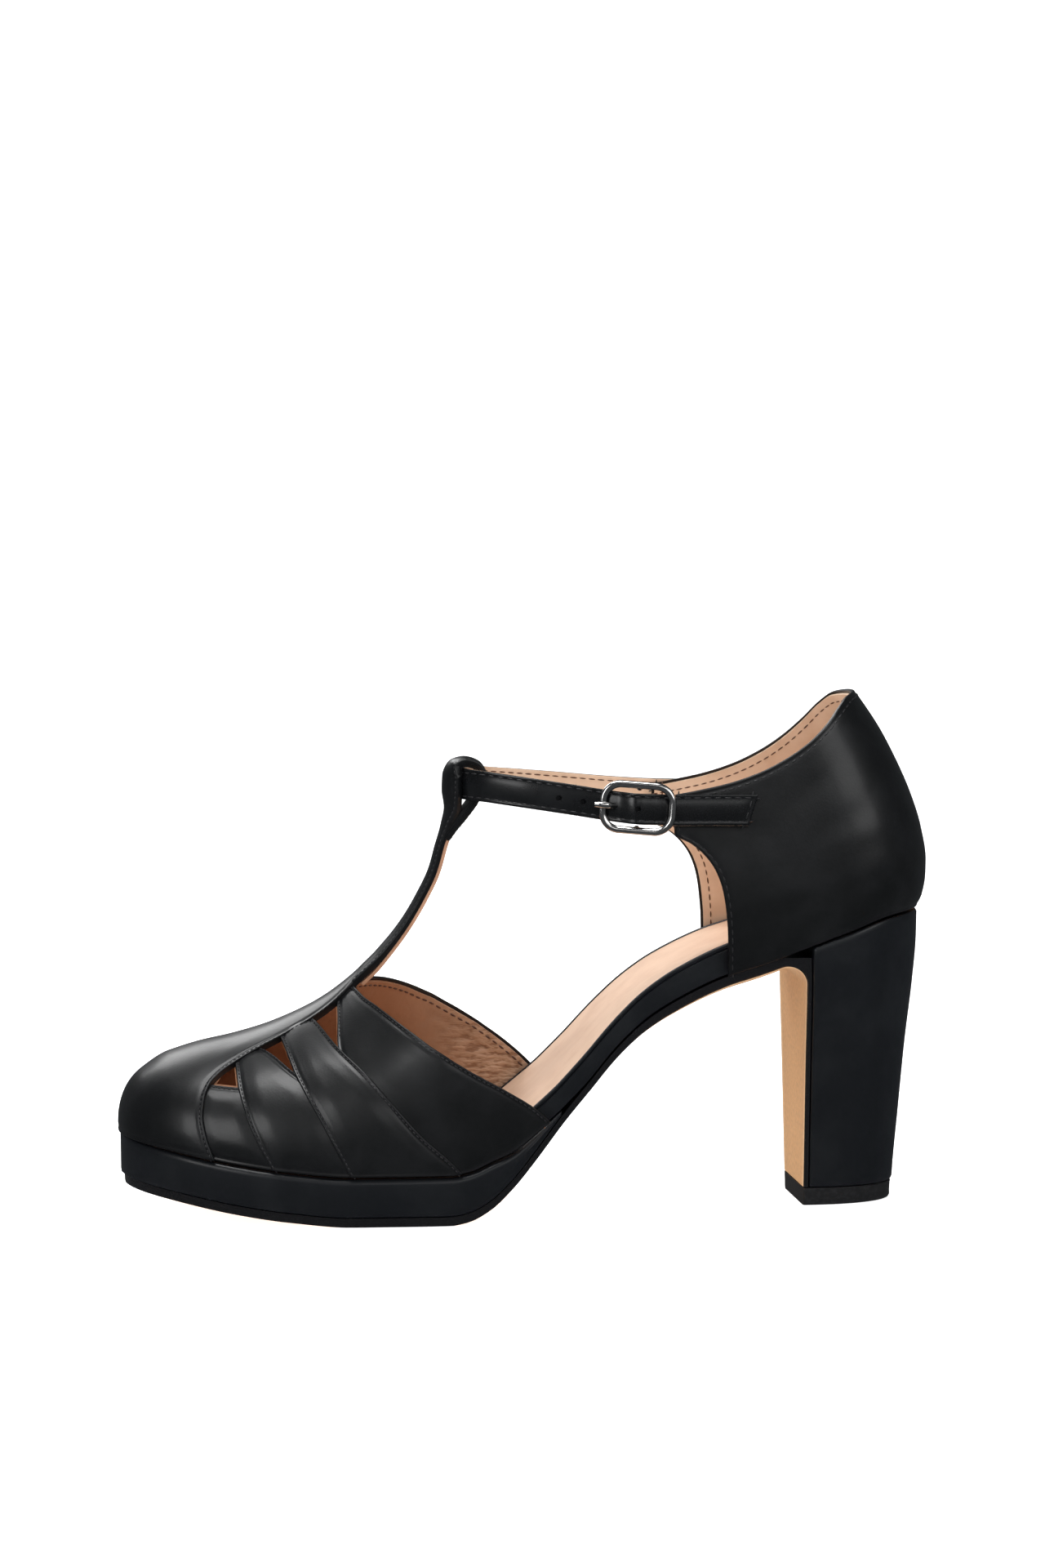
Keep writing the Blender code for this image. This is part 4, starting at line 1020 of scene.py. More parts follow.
class Graph:
    """The node graph of one material."""

    def __init__(self, name: str) -> None:
        """Makes a material with its Principled shader ready.

        Args:
            name: name of the material.
        """
        self.material = bpy.data.materials.new(name)
        self.material.use_nodes = True
        self.tree = self.material.node_tree
        self.shader = self.tree.nodes["Principled BSDF"]

    def node(self, kind: str, settings: Optional[dict] = None, inputs: Optional[dict] = None,
             output: Union[int, str] = 0) -> Value:
        """Adds a node.

        Args:
            kind: the node's type.
            settings: its own settings, set first; stops holds a ramp's (place, colour) pairs.
            inputs: values or links of its sockets, by number or name.
            output: the socket to return.

        Returns:
            The output socket, wrapped.
        """
        made = self.tree.nodes.new(kind)
        for key, setting in (settings or {}).items():
            if key == "stops":
                ramp = made.color_ramp.elements
                while len(ramp) < len(setting):
                    ramp.new(0.5)
                for element, (place, colour) in zip(ramp, setting):
                    element.position = place
                    element.color = (*colour, 1.0)
            else:
                setattr(made, key, setting)
        for key, value in (inputs or {}).items():
            if isinstance(value, Value):
                self.tree.links.new(value.socket, made.inputs[key])
            else:
                made.inputs[key].default_value = value
        return Value(self, made.outputs[output])

    def place(self) -> Value:
        """Object coordinates."""
        return self.node("ShaderNodeTexCoord", output="Object")

    def noise(self, size: float, detail: float = 3.0, stretch: Sequence[float] = (1.0, 1.0, 1.0)) -> Value:
        """Smooth noise whose blotches are about size metres across."""
        where = self.scaled([s / size for s in stretch])
        return self.node("ShaderNodeTexNoise", None, {"Vector": where, "Scale": 1.0, "Detail": detail})

    def pores(self, size: float) -> Value:
        """Leather grain: cells about size metres across."""
        inputs = {"Vector": self.scaled([1 / size] * 3), "Scale": 1.0}
        return self.node("ShaderNodeTexVoronoi", {"feature": "SMOOTH_F1"}, inputs, "Distance")

    def scaled(self, scale: Sequence[float]) -> Value:
        """Object coordinates, scaled along each axis."""
        return self.node("ShaderNodeMapping", None, {"Vector": self.place(), "Scale": scale})

    def mix(self, share: Operand, first: Union[Value, tuple], second: Union[Value, tuple]) -> Value:
        """Mixes two colours."""
        return self.node("ShaderNodeMix", {"data_type": "RGBA"}, {0: share, 6: first, 7: second}, 2)

    def along(self) -> Value:
        """Place along the shoe in metres."""
        return self.node("ShaderNodeSeparateXYZ", None, {"Vector": self.place()}, "X")

    def bump(self, height: Value, depth: float, strength: float = 1.0,
             after: Optional[Value] = None) -> Value:
        """Relief of a depth in metres, on top of another one."""
        inputs = {"Height": height, "Distance": depth, "Strength": strength}
        return self.node("ShaderNodeBump", None, inputs if after is None else {**inputs, "Normal": after})

    def set(self, **values: Union[Value, float, tuple]) -> Material:
        """Sets or links the shader's sockets; underscores stand for spaces.

        Args:
            values: a number, a colour or a link for each of the shader's sockets.

        Returns:
            The material.
        """
        for key, value in values.items():
            socket = self.shader.inputs[key.replace("_", " ")]
            if isinstance(value, Value):
                self.tree.links.new(value.socket, socket)
            else:
                socket.default_value = value
        return self.material


@dataclass(frozen=True)
class BlackLeather:
    """Smooth semi-gloss black leather with fine grain."""

    name: str
    colour: tuple = (0.0030, 0.0034, 0.0040)
    worn: tuple = (0.0055, 0.0060, 0.0070)
    roughness: float = 0.38
    grain: float = 0.00055
    grain_depth: float = 0.00003
    ripple_depth: float = 0.00022
    coat: float = 0.18
    blotch_size: float = 0.012
    fine_size: float = 0.0013
    ripple_size: float = 0.016

    def material(self) -> Material:
        """Makes the material.

        Returns:
            The material.
        """
        graph = Graph(self.name)
        blotch = graph.noise(self.blotch_size, 4.0)
        fine = graph.noise(self.fine_size, 2.0)
        ripple = graph.bump(graph.noise(self.ripple_size, 2.0), self.ripple_depth, 0.5)
        relief = graph.bump(graph.pores(self.grain) + fine * 0.6, self.grain_depth, 0.5, ripple)
        colour = graph.mix(blotch.fade(0.40, 0.75), (*self.colour, 1.0), (*self.worn, 1.0))
        gloss = blotch * 0.10 + fine * 0.06 + (self.roughness - 0.08)
        return graph.set(Base_Color=colour, Roughness=gloss, Normal=relief, Coat_Weight=self.coat,
                         Coat_Roughness=0.20, Specular_IOR_Level=0.38)


def matt(graph: Graph, colour: Value, relief: Value) -> Material:
    """Finishes a lining as matt leather.

    Args:
        graph: the lining's graph.
        colour: its colour.
        relief: its relief.

    Returns:
        The material.
    """
    return graph.set(Base_Color=colour, Roughness=graph.noise(0.004) * 0.15 + 0.50, Normal=relief,
                     Specular_IOR_Level=0.35)


@dataclass(frozen=True)
class Lining:
    """Matt lining leather with soft wrinkles."""

    name: str
    colour: tuple
    dark: tuple
    wrinkle: float = 0.00030
    stretch: tuple = (1.0, 1.0, 1.0)
    fold_size: float = 0.0042
    pore_size: float = 0.0006
    pore_depth: float = 0.00003
    blotch_size: float = 0.009

    def material(self) -> Material:
        """Makes the material.

        Returns:
            The material.
        """
        graph = Graph(self.name)
        folds = graph.noise(self.fold_size, 3.0, self.stretch)
        worn = graph.noise(self.blotch_size, 4.0).fade(0.35, 0.72)
        colour = graph.mix(worn, (*self.colour, 1.0), (*self.dark, 1.0))
        under = graph.bump(folds, self.wrinkle, 0.6)
        relief = graph.bump(graph.pores(self.pore_size), self.pore_depth, 0.5, under)
        return matt(graph, colour, relief)


@dataclass(frozen=True)
class VampLining:
    """Tan vamp lining, darker towards the toe and finely wrinkled where the foot bends it, with painted shade
    in the wrinkles' troughs.
    """

    name: str = "vamp_lining_leather"
    toe: tuple = (0.360, 0.165, 0.085, 1.0)
    rear: tuple = (0.600, 0.375, 0.245, 1.0)
    # Colour of the painted shade laid into the wrinkles' troughs
    crease_shade: tuple = (0.250, 0.120, 0.062, 1.0)
    toe_dark_from: float = -0.040
    toe_dark_to: float = -0.002
    folds_from: float = -0.026
    folds_to: float = -0.010
    wrinkle_size: float = 0.0012
    wrinkle_depth: float = 0.0009
    swell_size: float = 0.0042
    swell_depth: float = 0.0003

    def material(self) -> Material:
        """Makes the material.

        Returns:
            The material.
        """
        graph = Graph(self.name)
        along = graph.along()
        folded = along.fade(self.folds_from, self.folds_to)
        wrinkles = graph.noise(self.wrinkle_size, 2.0, (0.28, 1.0, 1.0))
        # Darker towards the toe: the colour runs from the toe tone to the rear tone along the shoe
        colour = graph.mix(along.fade(self.toe_dark_from, self.toe_dark_to), self.toe, self.rear)
        # Painted shade: in the folded zone the wrinkles' troughs are darkened towards the trough shade colour
        shade = (wrinkles * -1.0 + 1.0).fade(0.48, 0.66) * folded * 0.75
        colour = graph.mix(shade, colour, self.crease_shade)
        under = graph.bump(graph.noise(self.swell_size), self.swell_depth, 0.6)
        return matt(graph, colour, graph.bump(wrinkles * folded, self.wrinkle_depth, 0.9, under))


@dataclass(frozen=True)
class PaintedEdge:
    """Glossy black painted edge that gives way to the bare leather underside."""

    name: str
    paint: tuple = (0.006, 0.006, 0.007)
    line: tuple = (0.75, 0.50, 0.28)
    under: tuple = (0.60, 0.36, 0.17)
    fibre: tuple = (0.16, 0.085, 0.055)
    line_at: float = 0.0010
    line_blur: float = 0.00012
    under_from: float = 0.0008
    under_to: float = 0.0030

    def material(self) -> Material:
        """Makes the material, which reads the distance from the painted edge.

        Returns:
            The material.
        """
        graph = Graph(self.name)
        distance = graph.node("ShaderNodeAttribute", {"attribute_name": "from_edge"}, None, "Fac")
        wobble = graph.noise(0.003) * 0.0002 - 0.0001
        bare = (distance + wobble).fade(self.line_at - self.line_blur, self.line_at + self.line_blur)
        deep = (distance + wobble).fade(self.line_at + self.under_from, self.line_at + self.under_to)
        grain = graph.noise(0.0012, 4.0, (0.25, 1.0, 1.0))
        leather = graph.mix(deep, (*self.line, 1.0), (*self.under, 1.0))
        leather = graph.mix(grain.fade(0.3, 0.8) * 0.35, leather, (*self.fibre, 1.0))
        colour = graph.mix(bare, (*self.paint, 1.0), leather)
        relief = graph.bump(grain, 0.00003, 0.5)
        gloss = bare * 0.22 + graph.noise(0.006) * 0.08 + 0.22
        return graph.set(Base_Color=colour, Roughness=gloss, Normal=relief)


@dataclass(frozen=True)
class Speckled:
    """A plain finish, such as rubber, steel or thread: fine specks shade its colour, gloss and relief."""

    name: str
    colour: tuple
    dark: tuple
    size: float
    depth: float
    roughness: float
    dulling: float = 0.2
    detail: float = 2.0
    shaded: tuple = (0.35, 0.7)
    strength: float = 0.6
    stretch: tuple = (1.0, 1.0, 1.0)
    metallic: float = 0.0

    def material(self) -> Material:
        """Makes the material.

        Returns:
            The material.
        """
        graph = Graph(self.name)
        speck = graph.noise(self.size, self.detail, self.stretch)
        colour = graph.mix(speck.fade(*self.shaded), (*self.colour, 1.0), (*self.dark, 1.0))
        relief = graph.bump(speck, self.depth, self.strength)
        return graph.set(Base_Color=colour, Metallic=self.metallic, Normal=relief,
                         Roughness=speck * self.dulling + self.roughness)


RUBBER = Speckled("top_piece_rubber", (0.007, 0.007, 0.008), (0.018, 0.018, 0.020), 0.0009, 0.00004, 0.42,
                  detail=3.0, shaded=(0.4, 0.8))
STEEL = Speckled("buckle_steel", (0.66, 0.65, 0.64), (0.50, 0.49, 0.48), 0.0016, 0.000003, 0.12, dulling=0.10,
                 detail=4.0, shaded=(0.45, 0.8), strength=0.3, stretch=(1.0, 1.0, 3.0), metallic=1.0)
BLACK_THREAD = Speckled("black_thread", (0.016, 0.016, 0.018), (0.0096, 0.0096, 0.0108),
                        0.0003, 0.00003, 0.36)
TAN_THREAD = Speckled("tan_thread", (0.13, 0.060, 0.034), (0.078, 0.036, 0.0204), 0.0003, 0.00003, 0.36)


class StitchTree:
    """Geometry Nodes tree that lays stitches along lines."""

    def __init__(self) -> None:
        """Builds the tree with its named inputs."""
        self.tree = bpy.data.node_groups.new("stitch_row", "GeometryNodeTree")
        self._socket("Line", "INPUT", "NodeSocketGeometry")
        self.pitch = self._socket("Pitch", "INPUT", "NodeSocketFloat")
        self.size = self._socket("Stitch Size", "INPUT", "NodeSocketVector")
        self.thread = self._socket("Thread", "INPUT", "NodeSocketMaterial")
        self._socket("Stitches", "OUTPUT", "NodeSocketGeometry")
        source = self._node("NodeGroupInput")
        curve = self._node("GeometryNodeMeshToCurve")
        spaced = self._node("GeometryNodeResampleCurve")
        if hasattr(spaced, "mode"):
            spaced.mode = "LENGTH"
        bead = self._node("GeometryNodeMeshUVSphere")
        bead.inputs["Segments"].default_value = 7
        bead.inputs["Rings"].default_value = 5
        bead.inputs["Radius"].default_value = 1.0
        sized = self._node("GeometryNodeTransform")
        heading = self._node("GeometryNodeInputTangent")
        turned = self._node("FunctionNodeAlignRotationToVector")
        turned.axis = "X"
        slack = self._node("FunctionNodeRandomValue")
        slack.data_type = "FLOAT"
        placed = self._node("GeometryNodeInstanceOnPoints")
        real = self._node("GeometryNodeRealizeInstances")
        coloured = self._node("GeometryNodeSetMaterial")
        sink = self._node("NodeGroupOutput")
        least_and_most = (0.92, 1.06)
        for socket, value in zip([s for s in slack.inputs if s.enabled], least_and_most):
            socket.default_value = value
        slack.inputs["Seed"].default_value = 7
        wires = (
            (source, "Line", curve, "Mesh"), (curve, "Curve", spaced, "Curve"),
            (source, "Pitch", spaced, "Length"), (bead, "Mesh", sized, "Geometry"),
            (source, "Stitch Size", sized, "Scale"), (heading, "Tangent", turned, "Vector"),
            (spaced, "Curve", placed, "Points"), (sized, "Geometry", placed, "Instance"),
            (turned, "Rotation", placed, "Rotation"), (placed, "Instances", real, "Geometry"),
            (real, "Geometry", coloured, "Geometry"), (source, "Thread", coloured, "Material"),
            (coloured, "Geometry", sink, "Stitches"),
        )
        for start, output, end, target in wires:
            self.tree.links.new(start.outputs[output], end.inputs[target])
        self.tree.links.new([s for s in slack.outputs if s.enabled][0], placed.inputs["Scale"])

    def _socket(self, name: str, way: str, kind: str) -> str:
        """Adds a named input or output and returns its identifier."""
        return self.tree.interface.new_socket(name, in_out=way, socket_type=kind).identifier

    def _node(self, kind: str) -> bpy.types.Node:
        """Adds a node to the tree."""
        return self.tree.nodes.new(kind)

    def sew(self, name: str, lines: Sequence[Array], pitch: float, thread: Material,
            radius: float = THREAD_RADIUS) -> Piece:
        """Sews rows of stitches.

        Args:
            name: name of the piece.
            lines: the lines that the rows follow.
            pitch: distance from stitch to stitch.
            thread: the thread's material.
            radius: the thread's radius.

        Returns:
            The stitches as one plain mesh.
        """
        bm = bmesh.new()
        for line in lines:
            verts = [bm.verts.new(p) for p in line]
            for a, b in zip(verts, verts[1:]):
                bm.edges.new((a, b))
        obj = link(name, bm)
        modifier = obj.modifiers.new("stitches", "NODES")
        modifier.node_group = self.tree
        modifier[self.pitch] = pitch
        modifier[self.size] = (pitch * STITCH_LENGTH, radius, radius)
        modifier[self.thread] = thread
        settle(obj)
        obj.data.shade_smooth()
        return dress(obj, thread, "black_leather")


@dataclass
class Sewn:
    """What the sewn parts of the upper are made of."""

    stitches: StitchTree
    leather: Material
    lining: Material
    thread: Material
    lining_thread: Material


@dataclass
class Vamp(Sewn):
    """Toe cap with T-bar and loop, four lapped strips on each side, and the lining."""

    bar_lining: Material
    pitch: float = 0.00145
    lining_pitch: float = 0.0024
    lining_inset: float = 0.0014
    lining_drop: float = 0.0006
    inner_window: float = 0.45
    groove: float = 0.00022
    swells: tuple = (0.00035, 0.00035, 0.00035, 0.00012)
    bar_swell: float = 0.00012
    bar_gap: float = 0.0012
    blend_rows: int = 14
    middle: tuple = (-0.05, 0.0, 0.02)
    lines: list = field(default_factory=list)

    def line(self, table: Sequence[LinePoint], side: Side, even: bool = False) -> Curve:
        """x of a line against the turn on one side of the vamp.

        Args:
            table: points of the line, from the feather edge up.
            side: the side of the shoe.
            even: evens the line out as it is seen from the side.

        Returns:
            The curve, from turn 0 to the middle.
        """
        curve = Curve([float(turn_of(p.rise)) for p in table], [float(LAST.place(p.along)) for p in table])
        return self.evened(curve, side) if even else curve

    def evened(self, curve: Curve, side: Side) -> Curve:
        """Redraws a line so that it runs evenly as it is seen from the side.

        Args:
            curve: x of the line against the turn.
            side: the side of the shoe.

        Returns:
            The evened curve.
        """
        samples, order, stations, end_weight = 80, 4, 15, 3.0
        turns = np.linspace(0.02, QUARTER_TURN - 0.03, samples)
        points = LAST.vamp(curve.at(turns), side.turned(turns))
        weights = np.where((turns < 0.1) | (turns > 1.45), end_weight, 1.0)
        seen = np.polyfit(points[:, 0], points[:, 2], order, w=weights)
        fan = np.linspace(0.0, QUARTER_TURN, 400)
        rows = [(0.0, curve.values[0])]
        for place in np.linspace(points[:, 0].max(), points[:, 0].min(), stations)[1:-1]:
            heights = LAST.vamp(np.full(len(fan), place), side.turned(fan))[:, 2]
            turn = float(np.interp(np.polyval(seen, place), heights, fan))
            if rows[-1][0] + 0.02 < turn < QUARTER_TURN - 0.05:
                rows.append((turn, float(place)))
        rows.append((QUARTER_TURN, curve.values[-1]))
        return Curve([row[0] for row in rows], [row[1] for row in rows])

    def front_line(self, outer: Sequence[LinePoint], inner: Sequence[LinePoint],
                   even: bool = False) -> Curve:
        """x of a line across the whole vamp against the turn.

        Args:
            outer: the line on the outer side.
            inner: the line on the inner side.
            even: evens both out as they are seen from the side.

        Returns:
            The curve, from the outer to the inner feather edge.
        """
        near, far = self.line(outer, Side.OUTER, even), self.line(inner, Side.INNER, even)
        turns = [*near.places, *(math.pi - far.places[-2::-1])]
        return Curve(turns, [*near.values, *far.values[-2::-1]])

    def sweep(self, limit: Curve, shares: Array, turns: Array) -> Array:
        """A net from the toe tip to a line: rows at shares of the way there, columns at turns."""
        x = TOE_TIP + (limit.at(turns)[None, :] - TOE_TIP) * shares[:, None]
        return LAST.vamp(x, np.broadcast_to(turns, x.shape))

    def strip(self, name: str, front: Sequence[LinePoint], rear: Sequence[LinePoint],
              side: Side) -> Array:
        """A net of one strip, rows from its front to its rear line, columns upwards.

        Args:
            name: name of the strip, and of the line that it runs up to.
            front: its front line.
            rear: its rear line.
            side: the side of the shoe.

        Returns:
            The net.
        """
        ahead = self.line(front, side)
        behind = self.line(rear, side, even=name == "fourth")
        tops = STRIP_TOPS[name]
        crest = Curve([float(LAST.place(p.along)) for p in tops], [float(turn_of(p.rise)) for p in tops])
        across = close_net(0.020, 0.0009)
        upward = close_net(0.045, 0.0010)
        highest = np.full(len(across), 1.2)
        for _ in range(12):
            x = ahead.at(highest) * (1 - across) + behind.at(highest) * across
            highest = crest.at(x)
        turn = highest[:, None] * upward[None, :]
        x = ahead.at(turn) * (1 - across[:, None]) + behind.at(turn) * across[:, None]
        return LAST.vamp(x, side.turned(turn))

    def build_strips(self) -> None:
        """The strips, each lapped over its neighbour as the real ones are."""
        # Shares of a border where its stitches begin
        whole, upper = 0.0, 0.60
        for side, topline in ((Side.OUTER, TOPLINE_OUTER), (Side.INNER, TOPLINE_INNER)):
            plan = (
                ("first", FIRST_STRIP_FRONT, moved(SECOND_STRIP_FRONT, STRIP_TUCK),
                 ((Border.HIGH, whole),)),
                ("second", SECOND_STRIP_FRONT, moved(THIRD_STRIP_FRONT, STRIP_TUCK),
                 ((Border.FRONT, whole), (Border.HIGH, whole))),
                ("fourth", FOURTH_STRIP_FRONT, topline, ((Border.REAR, whole), (Border.FRONT, upper))),
                ("third", THIRD_STRIP_FRONT, THIRD_STRIP_REAR,
                 ((Border.FRONT, whole), (Border.REAR, whole))),
            )
            for number, (name, front, rear, sewn) in zip((0, 1, 3, 2), plan):
                net = self.strip(name, front, rear, side)
                skin = Skin([net], (float(net[..., 0].mean()), 0.0, 0.02))
                edge = Edge(swell=self.swells[number], groove_depth=self.groove)
                height = STRIP_HEIGHTS[number] + edge.height(skin.distance)
                piece = skin.build(f"{name}_strip_{side.name.lower()}", height, LINING_FACE - LAP_GAP)
                dress(piece, self.leather, "black_leather", "vamp")
                for border, start in sewn:
                    line = skin.inset(0, border, STITCH_EDGE)
                    self.lines.append(line[int(len(line) * start):])

    def bar_path(self) -> Array:
        """Centre line of the T-bar and its loop, closely spaced.

        Returns:
            One row of x, z and flare for each place.
        """
        steps = np.linspace(0.0, len(BAR) - 1.0, 14 * (len(BAR) - 1) + 1)
        columns = [[getattr(row, key) for row in BAR] for key in ("along", "height", "loop")]
        along, height, flare = [Curve(range(len(BAR)), values).at(steps) for values in columns]
        return np.stack([LAST.place(along), STRAP_FRONT_HEIGHT * height, flare], axis=1)

    def bar_net(self, across: Array, start: float, widen: float = 0.0) -> Array:
        """A net along the T-bar, bowed across like the instep.

        Args:
            across: places across the bar, from 1 at the inner edge to -1 at the outer one.
            start: x where it begins.
            widen: width to add to each side.

        Returns:
            The net, rows along the bar.
        """
        path = self.bar_path()
        ahead = np.gradient(path[:, :2], axis=0)
        ahead /= np.linalg.norm(ahead, axis=1, keepdims=True)
        keep = np.cumprod(path[:, 0] < start) == 0
        half = BAR_HALF_WIDTH + (LOOP_HALF_WIDTH - BAR_HALF_WIDTH) * path[:, 2] + widen
        faded = 1 - np.arange(len(path)) / len(path)
        rows = []
        for (x, z, flare), (run, climb), h, f in zip(path[keep], ahead[keep], half[keep], faded[keep]):
            bow = h * across ** 2 * (BAR_BOW * f + LOOP_CUP * flare * max(climb, 0.0))
            rows.append(np.stack([x + climb * bow, LAST.centre(x) + h * across, z - run * bow], -1))
        return np.array(rows)

    def bar_turns(self, limit: Curve, across: Array) -> Array:
        """Finds where on the cap's rear line the bar's columns leave it.

        Args:
            limit: x of the cap's rear line against the turn.
            across: places across the bar, from -1 to 1.

        Returns:
            The turn of each column.
        """
        first_guess, rounds, radius = 0.26, 30, 0.040
        turns = np.arccos(np.clip(across * first_guess, -1, 1))
        for _ in range(rounds):
            edge = LAST.vamp(limit.at(turns), turns)
            wanted = LAST.centre(edge[:, 0]) + BAR_HALF_WIDTH * across
            turns = turns + (wanted - edge[:, 1]) / radius
        return turns

    def build_cap(self) -> None:
        """Toe cap, T-bar and loop cut from one piece of leather."""
        limit = self.front_line(CAP_EDGE, CAP_EDGE)
        columns = (-1.0, -0.985, -0.96, -0.92, -0.86, -0.78, -0.66, -0.45, -0.22, 0.0)
        across = np.array(columns + tuple(-c for c in reversed(columns[:-1])))
        middle = self.bar_turns(limit, across)
        low = np.concatenate([[0, 0.0004, 0.001, 0.002, 0.004], np.linspace(0.01, 1, 62)[:-1]]) * middle[0]
        turns = np.concatenate([low, middle, math.pi - low[::-1]])
        near_edge = np.array([0, 0.25, 0.45, 0.6, 0.72, 0.81, 0.88, 0.93, 0.965, 0.985, 1.0])
        shares = np.concatenate([np.linspace(0.0, 1.0, 74)[:-1] ** 1.7 * 0.93, 0.93 + 0.07 * near_edge])
        shares[0] = NEAR_TIP
        cap = self.sweep(limit, shares, turns)
        first, last = len(low), len(low) + len(middle) - 1
        joint = cap[-1, first:last + 1]
        bar = self.bar_net(across, float(joint[:, 0].max()) + self.bar_gap)
        steps = np.linspace(0, 1, self.blend_rows + 1)
        blend = np.array([joint + (bar[self.blend_rows - 1] - joint) * t for t in steps])
        ease = fade(steps, 0.0, 1.0)[:, None, None]
        start = blend * (1 - ease) + np.concatenate([joint[None], bar[:self.blend_rows]]) * ease
        start[0] = joint
        strip = np.concatenate([start, bar[self.blend_rows:]])
        skin = Skin([cap, strip], self.middle)
        reach = np.zeros(len(skin.points))
        reach[skin.nets[1]] = fade(np.arange(len(strip)) / len(strip), 0.0, 0.16)[:, None]
        edge = Edge(rounding=0.0005, swell=self.bar_swell, groove_depth=self.groove)
        height = CAP_HEIGHT * (1 - reach) + BAR_HEIGHT * reach + edge.height(skin.distance)
        inner = LINING_FACE * (1 - reach) + BAR_BACK * reach - LAP_GAP
        piece = skin.build("toe_cap_and_t_bar", height, inner)
        dress(piece, self.leather, "black_leather", "vamp")
        rear = skin.inset(0, Border.REAR, STITCH_EDGE)
        self.lines += [rear[:first - 1], rear[last + 2:]]
        self.lines += [skin.inset(1, border, STITCH_EDGE) for border in (Border.LOW, Border.HIGH)]
        self.build_bar_lining(across[1:-1], float(joint[:, 0].max()) - 0.002)

    def build_bar_lining(self, across: Array, start: float) -> None:
        """The bar's lining, and the leather at the back of its loop.

        Args:
            across: places across the bar.
            start: x where the lining begins.
        """
        net = self.bar_net(across, start, -0.0001)
        high = int(np.argmax(net[:, 0, 2] > STRAP_FRONT_HEIGHT * LOOP_START))
        for name, part, material, slot in (("t_bar_lining", net[:high + 1], self.bar_lining, "beige_sock"),
                                           ("loop_backing", net[high:], self.leather, "black_leather")):
            back = Skin([part], (0.05, 0.0, 0.06))
            piece = back.build(name, np.full(len(back.points), -BAR_BACK), BAR_LINING_BACK)
            dress(piece, material, slot, "vamp")

    def build_lining(self) -> None:
        """Lining of the vamp, with the cut-outs."""
        limit = self.front_line(TOPLINE_OUTER, TOPLINE_INNER, even=True)
        limit.values = limit.values - self.lining_drop
        turns = np.linspace(0.0, math.pi, 241)
        shares = np.linspace(0.0, 1.0, 170) ** 1.2
        shares[0] = NEAR_TIP
        skin = Skin([self.sweep(limit, shares, turns)], self.middle)
        creases = [
            Crease(0.001 - 0.0030 * k, 0.0350 + 0.0026 * k, -34 + 7 * (k % 3), 0.010, 0.0011, 0.00060)
            for k in range(9)
        ]
        creases += [
            Crease(-0.003 - 0.0042 * k, 0.0330 + 0.0035 * k, 40 - 9 * (k % 2), 0.006, 0.0010, 0.00040)
            for k in range(6)
        ]
        wrinkle = sum(c.height(skin.points) for c in creases) * fade(skin.distance, 0.0025, 0.0060)
        outer = np.full(len(skin.points), -LINING_FACE)
        piece = skin.build("vamp_lining", outer, VAMP_WALL + wrinkle)
        for name, window in WINDOWS.items():
            corners = np.array([LAST.vamp(LAST.place(c.along), turn_of(c.rise)) for c in window])
            crest = corners[corners[:, 2].argmax()]
            for side, size in ((Side.OUTER, 1.0), (Side.INNER, self.inner_window)):
                scaled = crest + (corners - crest) * size
                ends = (side.value * BALL_WIDTH, 0.0)
                rings = np.array([[(x, y, z) for x, _, z in scaled] for y in ends])
                cut(piece, loft(f"window_{name}_{side.name}", rings))
        dress(piece, self.lining, "beige_sock", "vamp")
        skin.face = skin.points - skin.normals * (VAMP_WALL + LAP_GAP)
        line = skin.inset(0, Border.REAR, self.lining_inset)
        self.stitches.sew("vamp_lining_stitches", [line], self.lining_pitch, self.lining_thread,
                          LINING_THREAD_RADIUS)

    def build(self) -> None:
        """Builds every piece of the vamp."""
        self.build_lining()
        self.build_strips()
        self.build_cap()
        self.stitches.sew("vamp_stitches", self.lines, self.pitch, self.thread)


